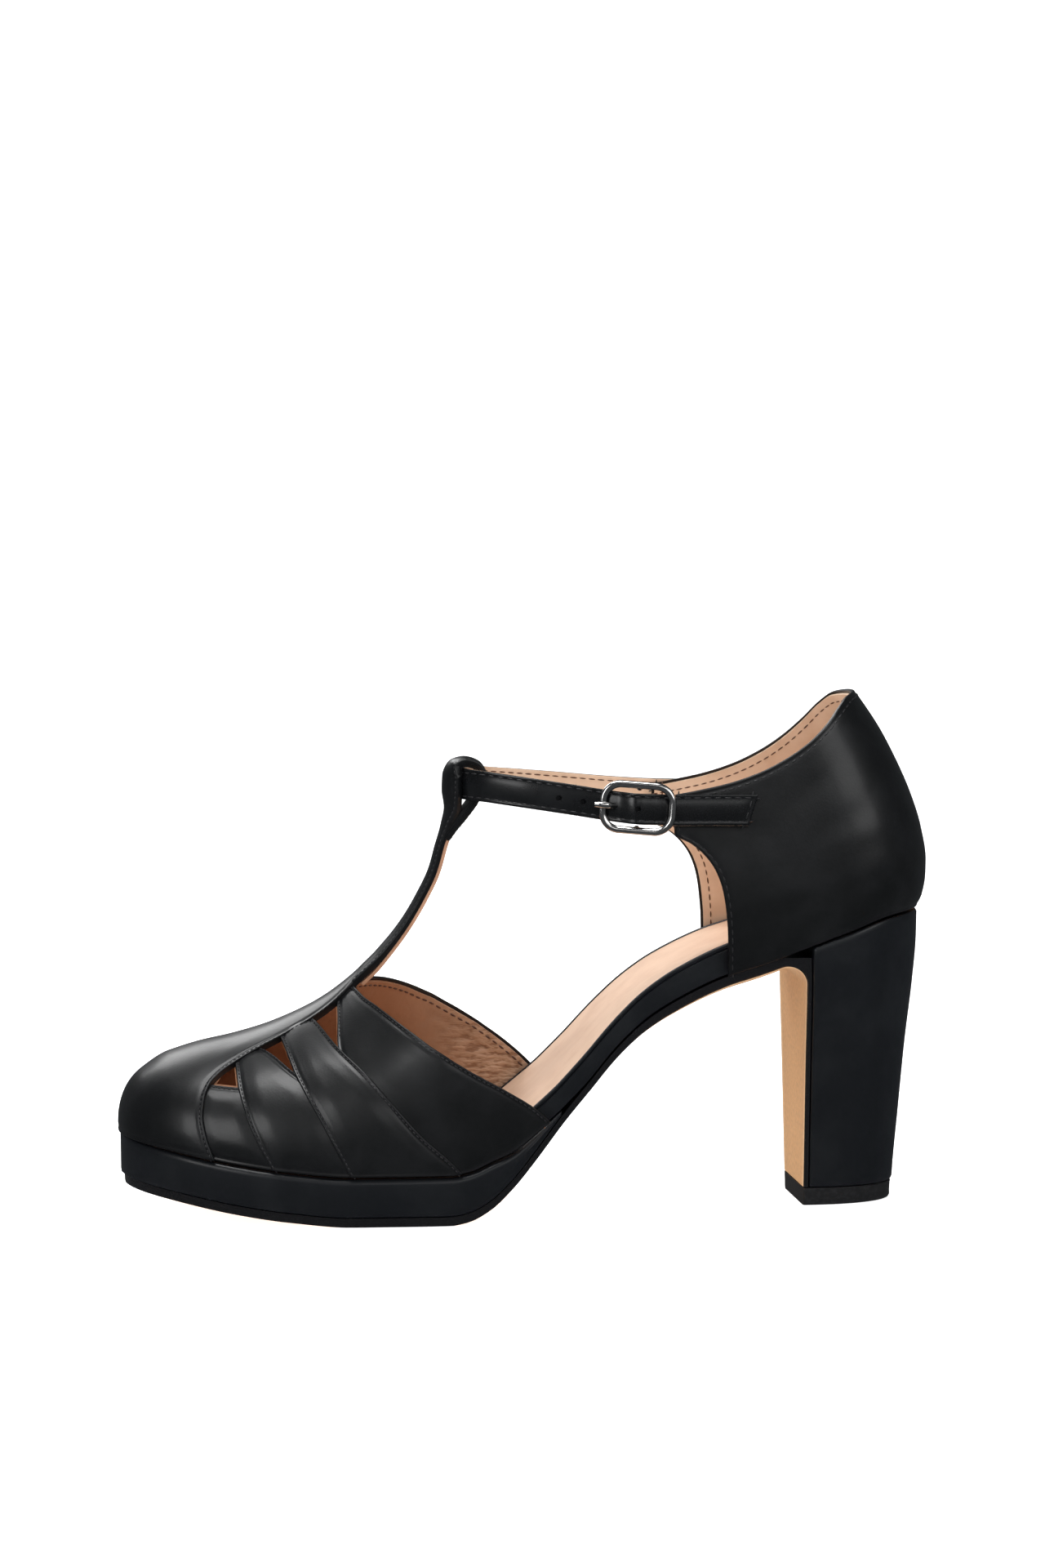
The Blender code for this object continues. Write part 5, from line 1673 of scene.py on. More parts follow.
@dataclass
class Quarter(Sewn):
    """Quarter round the heel with its lining, collar and stitches."""

    creases: tuple = (
        Crease(0.078, 0.118, 40, 0.012, 0.0034, 0.00010),
        Crease(0.086, 0.108, 32, 0.014, 0.0038, 0.00012),
        Crease(0.092, 0.099, 24, 0.012, 0.0034, 0.00009),
        Crease(0.066, 0.104, -30, 0.016, 0.0044, 0.00009),
        Crease(0.098, 0.120, 58, 0.010, 0.0034, 0.00008),
        Crease(0.058, 0.092, -62, 0.012, 0.0040, 0.00008),
    )
    pitch: float = 0.0024
    collar_inset: float = 0.0021
    front_inset: float = 0.0014
    lining_inset: float = 0.0022
    leather_depth: float = 0.0012
    lining_face: float = 0.00125
    lining_shrink: float = 0.0007
    lining_lift: float = 0.0015
    ripple: float = 0.00015
    foot_height: float = 0.0035
    foot_recess: float = 0.0003
    middle: tuple = (0.07, 0.0, 0.10)

    def net(self, shrink: float = 0.0, lift: float = 0.0) -> Array:
        """A net round the heel, rows upwards, columns from the outer to the inner front edge.

        Args:
            shrink: how far the top and front edges move in.
            lift: how far the bottom edge moves up.

        Returns:
            The net.
        """
        base = SEAT_RISE + OUTSOLE_THICKNESS
        top = Curve([float(LAST.place(r.along)) for r in QUARTER_TOP],
                    [base + COUNTER_HEIGHT * r.rise for r in QUARTER_TOP])
        fronts = QUARTER_FRONT + [LinePoint(QUARTER_FRONT[-1].along - 0.0001, QUARTER_TOP[0].rise)]
        front = Curve([base + COUNTER_HEIGHT * r.rise for r in fronts],
                      [float(LAST.place(r.along)) for r in fronts])
        high = base + COUNTER_HEIGHT
        half = 1 - close_net(0.085, 0.0012)[:-len(EDGE_ROWS)]
        half = np.concatenate([half[half > 0.0], [0.0]])
        around = np.concatenate([half, half[-2::-1]])
        side = np.concatenate([-np.ones(len(half)), np.ones(len(half) - 1)])
        upward = close_net(0.060, 0.0012)[:, None]
        share = np.broadcast_to(around ** 1.9, (len(upward), len(around)))
        x = np.full(share.shape, 0.08)
        for _ in range(60):
            low = LAST.feather(x)
            z = low + lift + (top.at(x) - shrink - low - lift) * upward
            level = (z - low) / (high - low)
            back = LAST.counter_back(level)
            x = x * 0.4 + 0.6 * (back - 1e-7 - (back - front.at(z) - shrink) * share)
        return LAST.counter(x, side[None, :], level)

    def build(self) -> None:
        """Builds the outer leather, the lining and both rows of stitches."""
        skin = Skin([self.net()], self.middle)
        foot = fade(skin.points[:, 2] - LAST.feather(skin.points[:, 0]), 0.0, self.foot_height)
        height = Edge(rounding=0.0005, swell=0.0).height(skin.distance)
        height += sum(c.height(skin.points) for c in self.creases) * fade(skin.distance, 0.002, 0.010)
        height -= self.foot_recess * (1 - foot)
        piece = skin.build("quarter_leather", height, self.leather_depth)
        dress(piece, self.leather, "black_leather", "quarter")
        collar = [skin.inset(0, Border.REAR, self.collar_inset)]
        fronts = [skin.inset(0, border, self.front_inset) for border in (Border.LOW, Border.HIGH)]
        self.stitches.sew("quarter_stitches", collar, self.pitch, self.thread)
        self.stitches.sew("quarter_front_stitches", fronts, self.pitch, self.thread)
        inner = Skin([self.net(self.lining_shrink, self.lining_lift)], self.middle)
        x, z = inner.points[:, 0], inner.points[:, 2]
        ripple = self.ripple * np.sin(x * 900 + z * 500)
        ripple *= np.sin(z * 700) * fade(inner.distance, 0.003, 0.008)
        piece = inner.build("quarter_lining", np.full(len(x), -self.lining_face), QUARTER_WALL + ripple)
        dress(piece, self.lining, "beige_sock", "quarter")
        inner.face = inner.points - inner.normals * (QUARTER_WALL + 0.00003)
        borders = (Border.REAR, Border.LOW, Border.HIGH)
        sewn = [inner.inset(0, border, self.lining_inset) for border in borders]
        self.stitches.sew("quarter_lining_stitches", sewn, self.pitch, self.lining_thread)


@dataclass
class SoleUnit:
    """Platform, insole board, sock and outsole with its breast flap."""

    leather: Material
    sock: Material
    edge: Material
    stations: int = 190
    end_gap: float = 0.0003
    rim_height: float = 0.0016
    sock_cup: float = 0.0004
    sock_ripple: float = 0.00008
    edge_corner: float = 0.0005
    corner_reach: float = 0.0007

    def places(self, first: float, last: float) -> Array:
        """x stations between two shares of the length, close at the ends.

        Args:
            first: the first share.
            last: the last share.

        Returns:
            The stations.
        """
        shared = (1 - np.cos(np.pi * np.linspace(0, 1, self.stations))) / 2
        inside = shared[(shared > first + self.end_gap) & (shared < last - self.end_gap)]
        return LAST.place(np.concatenate([[first], inside, [last]]))

    def board_places(self) -> Array:
        """x stations from end to end of the board."""
        start = (LAST.board_inset() + CLEARANCE / 2) / SHOE_LENGTH
        return self.places(start, 1 - start)

    def rings(self, x: Array, half: Array, profile: Sequence[tuple]) -> Array:
        """Cross sections from pairs of inset and height, outer side then inner side.

        Args:
            x: the stations.
            half: half width at each station.
            profile: pairs of inset and height.

        Returns:
            The sections, one ring of points for each station.
        """
        outer, inner = [], []
        for inset, height in profile:
            inset = np.minimum(inset, DEEPEST_INSET * half)
            outer.append(np.stack([x, LAST.centre(x) - half + inset, height + x * 0], -1))
            inner.append(np.stack([x, LAST.centre(x) + half - inset, height + x * 0], -1))
        return np.stack(outer + inner[::-1], axis=1)

    def build_platform(self) -> None:
        """Wrapped platform: soft top edge, a slight crown and a turned-under bottom edge."""
        x = self.places((CLEARANCE / 2 - PLATFORM_OVERHANG) / SHOE_LENGTH, PLATFORM_END)
        low, high = LAST.ground(x) + OUTSOLE_THICKNESS, LAST.feather(x)
        soft = np.minimum(PLATFORM_EDGE_ROUND, PLATFORM_ROUND_LIMIT * (high - low))
        half = LAST.outline(x, LAST.sole_inset(x, -PLATFORM_OVERHANG))
        profile = [(0.0012, low), (0.0006, low), (0.00018, low + 0.15 * soft), (0.0, low + 0.45 * soft)]
        profile += [(-0.0001 * np.sin(t * np.pi), low + soft + (high - low - 2 * soft) * t)
                    for t in (0.0, 0.2, 0.4, 0.6, 0.8, 1.0)]
        for turn in np.linspace(0.1, 1.0, 9) * np.pi / 2:
            profile.append((soft * (1 - np.cos(turn)), high - soft * (1 - np.sin(turn))))
        profile += [(soft + 0.003, high), (soft + BALL_WIDTH * PLATFORM_TOP_FLAT, high)]
        wrap = loft("platform_wrap", self.rings(x, half, profile))
        dress(wrap, self.leather, "black_leather", "platform")

    def build_board(self) -> None:
        """Board band of the open waist with its raised rim and the groove under it."""
        x = self.board_places()
        high, low = LAST.bed(x), LAST.feather(x) + CLEARANCE
        floor = high - SOCK_THICKNESS - 2 * CLEARANCE
        rim = np.minimum(self.rim_height, 0.4 * (high - low))
        profile = [(0.0014, low), (0.0006, low), (0.00012, low + 0.0002), (0.0, low + 0.0006)]
        profile += [(-0.00012 * math.sin(t * math.pi), low + 0.0006 + (high - rim - low - 0.0009) * t)
                    for t in (0.25, 0.5, 0.75)]
        groove = ((0.0, -0.0003), (0.00028, -0.0001), (0.00045, 0.0001), (0.00030, 0.0003), (0.00005, 0.0005))
        profile += [(inset, high - rim + height) for inset, height in groove]
        for turn in np.linspace(0.0, 1.0, 7) * math.pi / 2:
            profile.append((0.0005 * (1 - math.cos(turn)), high - 0.0006 * (1 - math.sin(turn))))
        profile += [(0.0010, high), (RIM_WIDTH - 0.0002, high - 0.0001)]
        profile += [(RIM_WIDTH, high - 0.0004), (RIM_WIDTH, floor)]
        half = LAST.outline(x, LAST.board_inset())
        band = loft("insole_band", self.rings(x, half, profile))
        dress(band, self.leather, "black_leather", "insole_board")

    def build_sock(self) -> None:
        """Sock lining with a soft cup, faint creases and a rounded edge."""
        inset = LAST.board_inset() + RIM_WIDTH + CLEARANCE
        x = self.board_places()
        half = LAST.outline(x, inset)
        x, half = x[half > 2 * RIM_WIDTH], half[half > 2 * RIM_WIDTH]
        high = LAST.bed(x) - CLEARANCE
        profile = [(0.0, high - SOCK_THICKNESS), (0.0, high - 0.0004)]
        profile += [(0.00012, high - 0.00015), (0.0004, high)]
        rings = self.rings(x, half, profile)
        across = np.linspace(-1.0, 1.0, 40)[1:-1]
        middle = []
        for a in across:
            ripple = self.sock_ripple * np.sin(x * 700 + a * 5) * np.sin(x * 260 - a * 3)
            cup = self.sock_cup * (1 - a * a) + ripple
            y = LAST.centre(x) + (half - 0.0006) * a
            middle.append(np.stack([x, y, high - cup], -1))
        rings = np.concatenate([rings[:, :4], np.stack(middle, 1), rings[:, 4:]], axis=1)
        dress(loft("sock", rings), self.sock, "beige_sock", "sock_lining")

    def under(self, over: Array, low: Array, half: float, hang: float, y: float) -> tuple:
        """One section of the outsole or the flap and how far each point is from the painted edge.

        Args:
            over: x and z of the section's inner face.
            low: x and z of its outer face.
            half: its half width.
            hang: how far its middle hangs.
            y: its middle.

        Returns:
            The points and their distances from the edge.
        """
        border = np.linspace(0.8, 1.0, 12)
        across = np.concatenate([-border[::-1], np.linspace(-0.78, 0.78, 27), border])
        points, paint = [], []
        for a in (-1.0, -0.5, 0.0, 0.5, 1.0):
            points.append((over[0], y + half * a, over[1]))
            paint.append(0.0)
        for a in across[::-1]:
            from_side = half * (1 - abs(a))
            lift = self.edge_corner * max(1 - from_side / self.corner_reach, 0.0) ** 2
            drop = hang * (1 - a * a)
            x = low[0] + (over[0] - low[0]) * lift / OUTSOLE_THICKNESS
            z = low[1] - drop + (over[1] - low[1]) * lift / OUTSOLE_THICKNESS
            points.append((x, y + half * a, z))
            paint.append(from_side)
        return points, paint

    def build_outsole(self, heel: "Heel") -> None:
        """Outsole with its painted edge, crowned waist and the flap down the heel's front.

        Args:
            heel: the heel, whose front the flap covers.
        """
        front = HEEL_BREAST - CLEARANCE - FLAP_THICKNESS
        middle = front - LIP_RADIUS
        slope = math.atan2(float(LAST.ground(middle) - LAST.ground(middle - LIP_RADIUS)), LIP_RADIUS)
        start = middle - LIP_RADIUS * math.sin(slope)
        height = float(LAST.ground(start)) - LIP_RADIUS * math.cos(slope)
        inset = OUTSOLE_INSET - PLATFORM_OVERHANG
        sections = []
        for x in self.places((inset + CLEARANCE / 2) / SHOE_LENGTH, float(LAST.share(start))):
            low = float(LAST.ground(x))
            half = float(LAST.outline(x, LAST.sole_inset(x, inset)))
            hang = WAIST_CROWN * float(fade(LAST.share(x), WAIST_START, WAIST_END))
            over = (x, low + OUTSOLE_THICKNESS - CLEARANCE)
            sections.append((over, (x, low), half, hang, float(LAST.centre(x))))
        corner = (HEEL_BREAST - CLEARANCE, float(LAST.ground(start)) + OUTSOLE_THICKNESS - CLEARANCE)
        y = float(LAST.centre(HEEL_BREAST))
        waist = float(LAST.outline(start, LAST.board_inset()))
        for step in np.linspace(0.0, 1.0, 25)[1:]:
            heading = slope - (slope + math.pi / 2) * step
            low = (middle - LIP_RADIUS * math.sin(heading), height + LIP_RADIUS * math.cos(heading))
            if step <= 0.5:
                over = (start + (corner[0] - start) * 2 * step, corner[1])
            else:
                over = (corner[0], corner[1] + (height - corner[1]) * (2 * step - 1))
            half = waist + (heel.half(low[1] / SEAT_RISE) - CLEARANCE - waist) * step
            middle_y = float(LAST.centre(start)) * (1 - step) + y * step
            sections.append((over, low, half, WAIST_CROWN * (1 - step), middle_y))
        for level in np.linspace(height, TOP_PIECE_HEIGHT + CLEARANCE, 40)[1:]:
            half = heel.half(level / SEAT_RISE) - CLEARANCE
            sections.append(((corner[0], level), (front, level), half, 0.0, y))
        made = [self.under(*section) for section in sections]
        piece = loft("outsole_and_flap", np.array([points for points, _ in made]), sharp=60.0)
        flat = [point for points, _ in made for point in points]
        values = [value for _, paint in made for value in paint]
        tree = tree_of(flat)
        layer = piece.data.attributes.new("from_edge", "FLOAT", "POINT")
        for vertex, item in zip(piece.data.vertices, layer.data):
            item.value = values[tree.find(vertex.co)[1]]
        dress(piece, self.edge, "black_edge", "outsole")

    def build(self, heel: "Heel") -> None:
        """Builds the four layers.

        Args:
            heel: the heel, whose front the outsole's flap covers.
        """
        self.build_platform()
        self.build_board()
        self.build_sock()
        self.build_outsole(heel)


@dataclass
class Heel:
    """Wrapped block heel and its rubber top piece."""

    leather: Material
    rubber: Material
    edge_round: float = 0.0005
    width: Curve = curve_field(HEEL, "level", "width")
    back: Curve = curve_field(HEEL, "level", "back")

    def half(self, level: float) -> float:
        """Half width at a level from the floor to the seat."""
        return (HEEL_TIP_WIDTH + (SEAT_WIDTH - HEEL_TIP_WIDTH) * float(self.width.at(level))) / 2

    def ring(self, front: float, level: float, inset: float, height: Callable) -> list:
        """A D-shaped level of the heel.

        Args:
            front: x of its flat front.
            level: share of the heel's height.
            inset: how far it moves in.
            height: gives z for each x.

        Returns:
            The ring's points.
        """
        back = HEEL_TIP_BACK + (HEEL_TOP_BACK - HEEL_TIP_BACK) * float(self.back.at(level)) - inset
        half = self.half(level) - inset
        bend = (back - front) * HEEL_BEND
        xs = [front + HEEL_CORNER * (1 - math.cos(t)) for t in np.linspace(0, math.pi / 2, 6)]
        ys = [half - HEEL_CORNER * (1 - math.sin(t)) for t in np.linspace(0, math.pi / 2, 6)]
        for t in np.linspace(0.0, math.pi / 2, 36)[1:]:
            x = xs[5] + (back - xs[5]) * math.sin(t)
            xs.append(x)
            ys.append(half * float(round_end(min((back - x) / bend, 1.0), HEEL_BLUNTNESS)))
        y = float(LAST.centre(HEEL_BREAST))
        outer = [(x, y - across, height(x)) for x, across in zip(xs, ys)]
        inner = [(x, y + across, height(x)) for x, across in list(zip(xs, ys))[-2::-1]]
        return outer + inner

    def build(self) -> None:
        """Builds the heel block and the top piece."""
        base = TOP_PIECE_HEIGHT + CLEARANCE
        rings = []
        shares = [0.0, 0.004, 0.012, *np.linspace(0.03, 0.97, 44), 0.99, 0.998, 1.0]
        for rise in shares:
            level = (base + (SEAT_RISE - base) * rise) / SEAT_RISE
            ease = self.edge_round * (max(1 - rise / 0.012, 0.0) ** 2 + max(1 - (1 - rise) / 0.010, 0.0) ** 2)
            rings.append(self.ring(HEEL_BREAST + ease * 0.2, level, ease, lambda x, r=rise: float(
                base + (LAST.feather(x) - 2 * CLEARANCE - base) * r)))
        dress(loft("heel_block", np.array(rings), sharp=50.0), self.leather, "black_leather", "heel")
        front = HEEL_BREAST - CLEARANCE - FLAP_THICKNESS
        rings = []
        for height, inset in ((0.0, 0.0010), (0.0002, 0.0006), (0.0008, 0.0003), (0.0022, 0.0004),
                              (0.0042, 0.0004), (0.0047, 0.0003), (TOP_PIECE_HEIGHT, 0.0006)):
            rings.append(self.ring(front, height / SEAT_RISE, inset, lambda x, z=height: z))
        dress(loft("heel_top_piece", np.array(rings)), self.rubber, "black_rubber", "top_piece")


@dataclass
class AnkleStrap(Sewn):
    """Ankle strap with its lining, holes and border stitches."""

    pitch: float = 0.0028
    edge_inset: float = 0.0012
    tip_inset: float = 0.0016
    lining_thickness: float = 0.00045
    ease_length: float = 0.003
    hole_heading: float = 8

    def x_at(self, back: float) -> float:
        """x of a share of the way from the strap's front to the ear."""
        return STRAP_FRONT + (EAR_END - STRAP_FRONT) * back

    def middle(self, back: float, rows: Sequence[StrapRow]) -> tuple:
        """Middle of the strap at a station: x, y, z and lift.

        Args:
            back: share of the way from its front to the ear.
            rows: the table of that side.

        Returns:
            x, y, z and lift.
        """
        across = float(column(rows, "back", "across").at(back)) * SEAT_WIDTH / 2
        drop = float(column(rows, "back", "drop").at(back))
        height = STRAP_FRONT_HEIGHT + (STRAP_EAR_HEIGHT - STRAP_FRONT_HEIGHT) * drop
        return self.x_at(back), across, height, float(column(rows, "back", "lift").at(back)) * STRAP_LIFT

    def curves(self) -> list:
        """Smooth x, y, z and lift along the strap, against the number of the station."""
        stations = [self.middle(row.back, rows) for rows in (STRAP_INNER, STRAP_OUTER) for row in rows]
        return [Curve(range(len(stations)), [point[k] for point in stations]) for k in range(4)]

    def seat(self, x: float, z: float) -> float:
        """Distance of the strap's middle from the shoe's middle where it lies on the quarter.

        Args:
            x: place along the shoe.
            z: height.

        Returns:
            The distance.
        """
        low = float(LAST.feather(x))
        level = (z - low) / (SEAT_RISE + OUTSOLE_THICKNESS + COUNTER_HEIGHT - low)
        point = LAST.counter(np.array(x), np.array(1.0), np.array(level))
        return abs(float(point[1]) - float(LAST.centre(x))) + CLEARANCE + STRAP_THICKNESS / 2

    def net(self) -> Array:
        """A net along the strap, columns upwards.

        Returns:
            The net.
        """
        curves = self.curves()
        last = len(STRAP_INNER) + len(STRAP_OUTER) - 1
        edge = np.array([0.0, 0.004, 0.012, 0.024, 0.04, 0.06])
        inner = np.linspace(0.09, last - 0.09, 300)
        upward = np.array([-0.5, -0.49, -0.475, -0.45, -0.42, -0.38, -0.34, -0.25, -0.12, 0.0])
        upward = np.concatenate([upward, -upward[-2::-1]]) * STRAP_WIDTH
        net = []
        for s in np.concatenate([edge, inner, last - edge[::-1]]):
            x, y, z, lift = [float(curve.at(s)) for curve in curves]
            ahead = [float(curve.at(s + 0.05) - curve.at(s - 0.05)) for curve in curves[:2]]
            size = math.hypot(*ahead)
            row = []
            for up in upward:
                slant = TIP_SLANT * up * float(fade(s, last - 1.0, last))
                across = y - STRAP_LEAN * up * y / (SEAT_WIDTH / 2)
                if x > EAR_END - SEAT_START:
                    reach = self.seat(x, z + up)
                    ease = float(fade(x, EAR_END - SEAT_START, EAR_END - SEAT_START + self.ease_length))
                    if abs(across) < reach:
                        across += (math.copysign(reach, across) - across) * ease
                row.append((x + ahead[1] / size * lift + slant,
                            float(LAST.centre(x)) + across - ahead[0] / size * lift, z + up))
            net.append(row)
        return np.array(net)

    def build(self) -> None:
        """Builds the strap."""
        skin = Skin([self.net()], (0.02, 0.0, 0.115))
        edge = Edge(groove_at=self.edge_inset, groove_depth=0.00010, swell_reach=0.004, swell=0.00012)
        half = STRAP_THICKNESS / 2
        strap = skin.build("ankle_strap_leather", half + edge.height(skin.distance),
                           half - self.lining_thickness)
        face = skin.face.copy()
        lining = skin.build("ankle_strap_lining", np.full(len(skin.points), -half + 0.0004),
                            half - 0.0002 * fade(-skin.distance, -0.0004, 0.0))
        for x, y, z, lift in (self.middle(back, STRAP_OUTER) for back in STRAP_HOLES):
            bpy.ops.mesh.primitive_cylinder_add(
                vertices=20, radius=HOLE_WIDTH / 2, depth=4 * STRAP_THICKNESS,
                location=(x, float(LAST.centre(x)) + y - lift - 2 * STRAP_THICKNESS, z),
                rotation=(math.pi / 2, 0.0, math.radians(self.hole_heading)))
            cut(strap, bpy.context.active_object)
        dress(strap, self.leather, "black_leather", "ankle_strap")
        dress(lining, self.lining, "beige_sock", "ankle_strap")
        skin.face = face
        lines = [skin.inset(0, border, self.edge_inset) for border in (Border.LOW, Border.HIGH)]
        lines.append(skin.inset(0, Border.REAR, self.tip_inset))
        self.stitches.sew("ankle_strap_stitches", lines, self.pitch, self.thread)
        skin.face = skin.points - skin.normals * (half + 0.00002)
        lines = [skin.inset(0, border, self.edge_inset) for border in (Border.LOW, Border.HIGH)]
        self.stitches.sew("ankle_strap_lining_stitches", lines, self.pitch, self.lining_thread)


@dataclass
class Buckle:
    """Polished frame with its centre bar, and the prong."""

    steel: Material
    strap: AnkleStrap
    band_width: float = 1.05
    band_depth: float = 0.9

    def axes(self) -> tuple:
        """Origin and axes of the buckle's plane: along, out and up.

        Returns:
            The origin and the three axes.
        """
        span = EAR_END - STRAP_FRONT
        back, reach = (BUCKLE_PLACE - STRAP_FRONT) / span, BUCKLE_LENGTH / 2 / span
        here, near, far = [self.strap.middle(b, STRAP_OUTER) for b in (back, back - reach, back + reach)]
        origin = Vector((here[0], float(LAST.centre(here[0])) + here[1], here[2]))
        along = Vector((far[0] - near[0], far[1] - near[1], far[2] - near[2])).normalized()
        out = Vector((along.y, -along.x, -STRAP_LEAN * here[1] / (SEAT_WIDTH / 2))).normalized()
        out = (out - along * out.dot(along)).normalized()
        up = out.cross(along)
        return origin, along, out, up if up.z > 0 else -up

    def point(self, along: float, out: float, up: float) -> Array:
        """A point given in the buckle's plane."""
        origin, u, n, w = self.axes()
        return np.array(origin + u * along + n * out + w * up)

    def frame_rings(self) -> Array:
        """Sections of the frame: a flat band with a bevelled inner and outer edge.

        Returns:
            The rings, round the frame.
        """
        reach, rise = BUCKLE_LENGTH / 2 - BUCKLE_CORNER, BUCKLE_WIDTH / 2 - BUCKLE_CORNER
        section = [(-1.0, -0.5), (-1.05, 0.1), (-0.8, 0.55), (-0.35, 0.85), (0.15, 1.0), (0.6, 0.8)]
        section += [(0.95, 0.35), (1.0, -0.2), (0.8, -0.75), (0.3, -0.95), (-0.3, -0.95), (-0.75, -0.8)]
        rings = []
        for sign_along, sign_up, start in ((1, 1, 0.0), (-1, 1, 0.5), (-1, -1, 1.0), (1, -1, 1.5)):
            for turn in np.linspace(start * math.pi, (start + 0.5) * math.pi, 18):
                c, s = math.cos(turn), math.sin(turn)
                ring = []
                for wide, deep in section:
                    radius = BUCKLE_CORNER - BUCKLE_WIRE + wide * BUCKLE_WIRE * self.band_width
                    out = BUCKLE_OUT + deep * BUCKLE_WIRE * self.band_depth
                    ring.append(self.point(sign_along * reach + radius * c, out, sign_up * rise + radius * s))
                rings.append(ring)
        return np.array(rings)

    def wire(self, name: str, path: Sequence[tuple], radii: Sequence[float]) -> Piece:
        """A round wire along a path in the buckle's plane, given as along, out and up.

        Args:
            name: name of the piece.
            path: points of its middle.
            radii: its radius at each point.

        Returns:
            The wire.
        """
        index = range(len(path))
        steps = np.linspace(0, len(path) - 1, 8 * (len(path) - 1) + 1)
        centre = np.stack([Curve(index, [p[k] for p in path]).at(steps) for k in range(3)], 1)
        radius = Curve(index, radii).at(steps)
        ahead = np.gradient(centre, axis=0)
        ahead /= np.linalg.norm(ahead, axis=1, keepdims=True)
        side = np.array((0.0, 0.0, 1.0)) if abs(ahead[0][2]) < 0.7 else np.array((1.0, 0.0, 0.0))
        rings = []
        for middle, heading, r in zip(centre, ahead, radius):
            first = np.cross(heading, side)
            first /= np.linalg.norm(first)
            second = np.cross(heading, first)
            turns = np.linspace(0, 2 * math.pi, 15)[:-1]
            spokes = [math.cos(t) * first + math.sin(t) * second for t in turns]
            rings.append([self.point(*(middle + r * spoke)) for spoke in spokes])
        return loft(name, np.array(rings))

    def build(self) -> None:
        """Builds the frame, the centre bar and the prong."""
        dress(loft("buckle_band", self.frame_rings(), cyclic=True, sharp=85), self.steel, "polished_steel",
              "buckle_frame")
        top = BUCKLE_WIDTH / 2 - BUCKLE_WIRE
        low = top - BAR_CRANK
        path = [(0, BUCKLE_OUT, -top), (0, BAR_OUT, -low), (0, BAR_OUT, 0), (0, BAR_OUT, low)]
        bar = self.wire("buckle_bar", path + [(0, BUCKLE_OUT, top)], [BAR_WIRE] * 5)
        dress(bar, self.steel, "polished_steel", "buckle_frame")
        radius = BAR_WIRE + CLEARANCE + PRONG_WIRE * PRONG_EYE
        path = [(radius * math.cos(t), BAR_OUT + radius * math.sin(t), 0.0)
                for t in np.radians(np.linspace(130, -130, 9))]
        path += [(row.along, row.out, 0.0) for row in PRONG]
        radii = [PRONG_WIRE * PRONG_EYE] * 9 + [PRONG_WIRE * row.wire for row in PRONG]
        dress(self.wire("buckle_tongue", path, radii), self.steel, "polished_steel", "buckle_prong")


@dataclass(frozen=True)
class Panel:
    """A soft rectangular light: where it hangs, the point it faces, its size and its power in watts."""

    name: str
    place: tuple
    aim: tuple
    size: tuple
    power: float

    def hang(self) -> None:
        """Hangs the light in the scene."""
        data = bpy.data.lights.new(self.name, "AREA")
        data.shape = "RECTANGLE"
        data.size, data.size_y = self.size
        data.energy = self.power
        obj = bpy.data.objects.new(self.name, data)
        bpy.context.scene.collection.objects.link(obj)
        obj.location = self.place
        obj.rotation_euler = (Vector(self.aim) - Vector(self.place)).to_track_quat("-Z", "Y").to_euler()


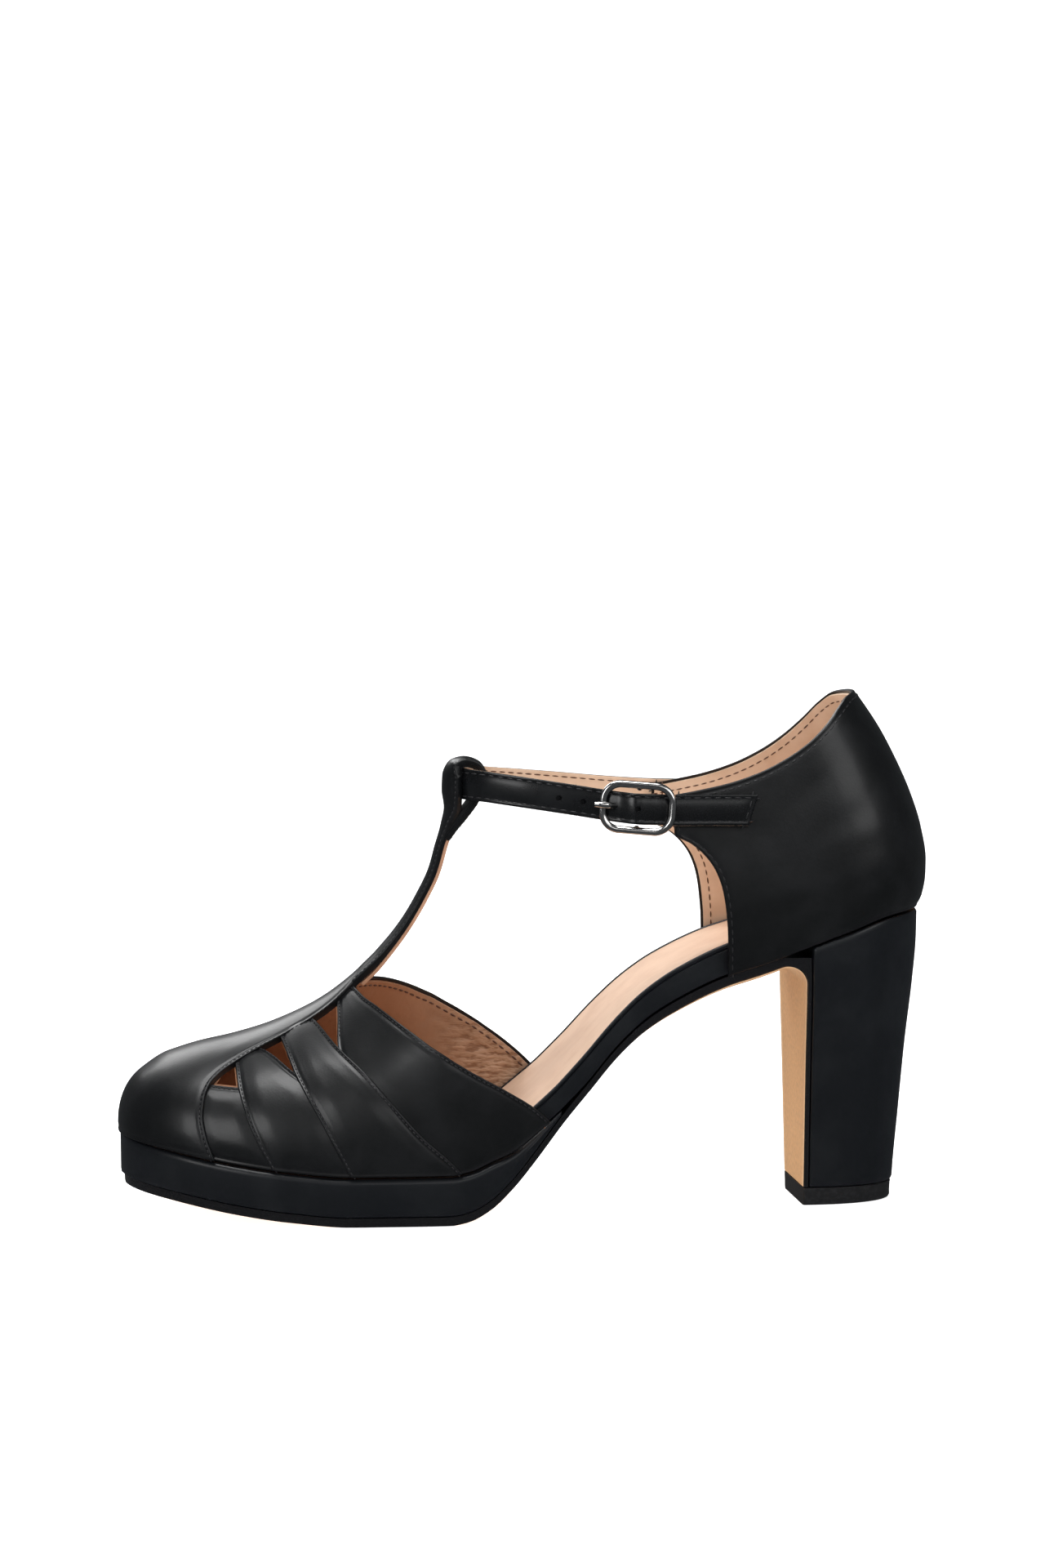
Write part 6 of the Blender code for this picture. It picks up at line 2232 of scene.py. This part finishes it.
@dataclass
class Studio:
    """Pale floor, white backdrop, soft lights and the camera."""

    panels: tuple = (
        Panel("top_light", (-0.15, -0.10, 0.95), (-0.02, 0.0, 0.05), (0.45, 0.40), 5.2),
        Panel("toe_light", (-0.75, -0.75, 0.55), (-0.05, 0.0, 0.05), (0.35, 0.45), 2.4),
        Panel("heel_light", (0.62, -0.72, 0.72), (0.07, 0.0, 0.08), (0.60, 0.60), 2.8),
        Panel("front_light", (0.10, -1.30, 0.75), (0.0, 0.0, 0.06), (0.7, 0.35), 1.3),
        Panel("rear_light", (-0.35, 0.85, 0.70), (0.0, 0.0, 0.08), (0.5, 0.4), 3.0),
    )
    sky: tuple = (0.9, 0.95, 1.0, 1.0)
    sky_strength: float = 0.07
    wide: float = 6.0
    behind: float = 3.0
    floor_colour: tuple = (0.93, 0.93, 0.93)
    floor_glow: float = 0.88
    backdrop_colour: tuple = (1.0, 1.0, 1.0)
    backdrop_glow: float = 1.0
    sensor_width: float = 36.0

    def plane(self, name: str, corners: Sequence[Sequence[float]], colour: tuple, glow: float) -> None:
        """A flat piece of the studio that the shoe doesn't mirror.

        Args:
            name: its name.
            corners: its corners.
            colour: its colour.
            glow: how strongly it glows.
        """
        bm = bmesh.new()
        bm.faces.new([bm.verts.new(c) for c in corners])
        obj = link(name, bm)
        graph = Graph(name)
        paint = (*colour, 1.0)
        graph.set(Base_Color=paint, Roughness=0.9, Emission_Color=paint, Emission_Strength=glow)
        obj.data.materials.append(graph.material)
        obj.visible_glossy = False

    def build(self) -> None:
        """Sets up the floor, the lights, the world and the camera."""
        scene = bpy.context.scene
        scene.view_settings.view_transform = "Standard"
        scene.world = bpy.data.worlds.new("studio")
        scene.world.use_nodes = True
        background = scene.world.node_tree.nodes["Background"]
        background.inputs["Color"].default_value = self.sky
        background.inputs["Strength"].default_value = self.sky_strength
        wide, behind = self.wide, self.behind
        self.plane("floor", ((-wide, -wide, 0), (wide, -wide, 0), (wide, wide, 0), (-wide, wide, 0)),
                   self.floor_colour, self.floor_glow)
        self.plane("backdrop", ((-wide, behind, -1), (wide, behind, -1), (wide, behind, wide),
                                (-wide, behind, wide)), self.backdrop_colour, self.backdrop_glow)
        for panel in self.panels:
            panel.hang()
        a, e = math.radians(CAMERA_AZIMUTH), math.radians(CAMERA_ELEVATION)
        back = Vector((math.sin(a) * math.cos(e), -math.cos(a) * math.cos(e), math.sin(e)))
        data = bpy.data.cameras.new("camera")
        data.lens = CAMERA_LENS
        data.sensor_width = self.sensor_width
        data.shift_x, data.shift_y = CAMERA_SHIFT
        camera = bpy.data.objects.new("camera", data)
        scene.collection.objects.link(camera)
        camera.rotation_mode = "QUATERNION"
        camera.location = Vector(CAMERA_AIM) + back * CAMERA_DISTANCE
        roll = Matrix.Rotation(math.radians(-CAMERA_ROLL), 4, "Z").to_quaternion()
        camera.rotation_quaternion = (-back).to_track_quat("-Z", "Y") @ roll
        scene.camera = camera


def main() -> None:
    """Builds the studio and every piece of the shoe, in order."""
    Studio().build()
    stitches = StitchTree()
    upper = BlackLeather("black_upper_leather").material()
    wrap = BlackLeather("black_wrap_leather", colour=(0.0042, 0.0052, 0.0072), worn=(0.0065, 0.0078, 0.0100),
                        roughness=0.40, ripple_depth=0.00008, coat=0.10).material()
    glossy = BlackLeather("black_strap_leather", roughness=0.28, grain_depth=0.000012,
                          ripple_depth=0.00008, coat=0.25).material()
    tan = Lining("tan_lining", (0.50, 0.275, 0.170), (0.39, 0.200, 0.118)).material()
    vamp_lining = VampLining().material()
    beige = Lining("beige_lining", (0.76, 0.55, 0.40), (0.66, 0.45, 0.31), wrinkle=0.0001).material()
    sock = Lining("sock_leather", (0.76, 0.53, 0.38), (0.70, 0.47, 0.33), wrinkle=0.0001,
                  stretch=(0.4, 1.0, 1.0)).material()
    thread = BLACK_THREAD.material()
    pale = TAN_THREAD.material()
    steel = STEEL.material()
    Vamp(stitches, upper, vamp_lining, thread, pale, tan).build()
    Quarter(stitches, upper, beige, thread, pale).build()
    heel = Heel(wrap, RUBBER.material())
    SoleUnit(wrap, sock, PaintedEdge("painted_edge").material()).build(heel)
    heel.build()
    strap = AnkleStrap(stitches, glossy, beige, thread, pale)
    strap.build()
    Buckle(steel, strap).build()
    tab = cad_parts["buckle_tab"]
    tab.data.materials.clear()
    tab.data.materials.append(glossy)


if __name__ == "__main__":
    main()
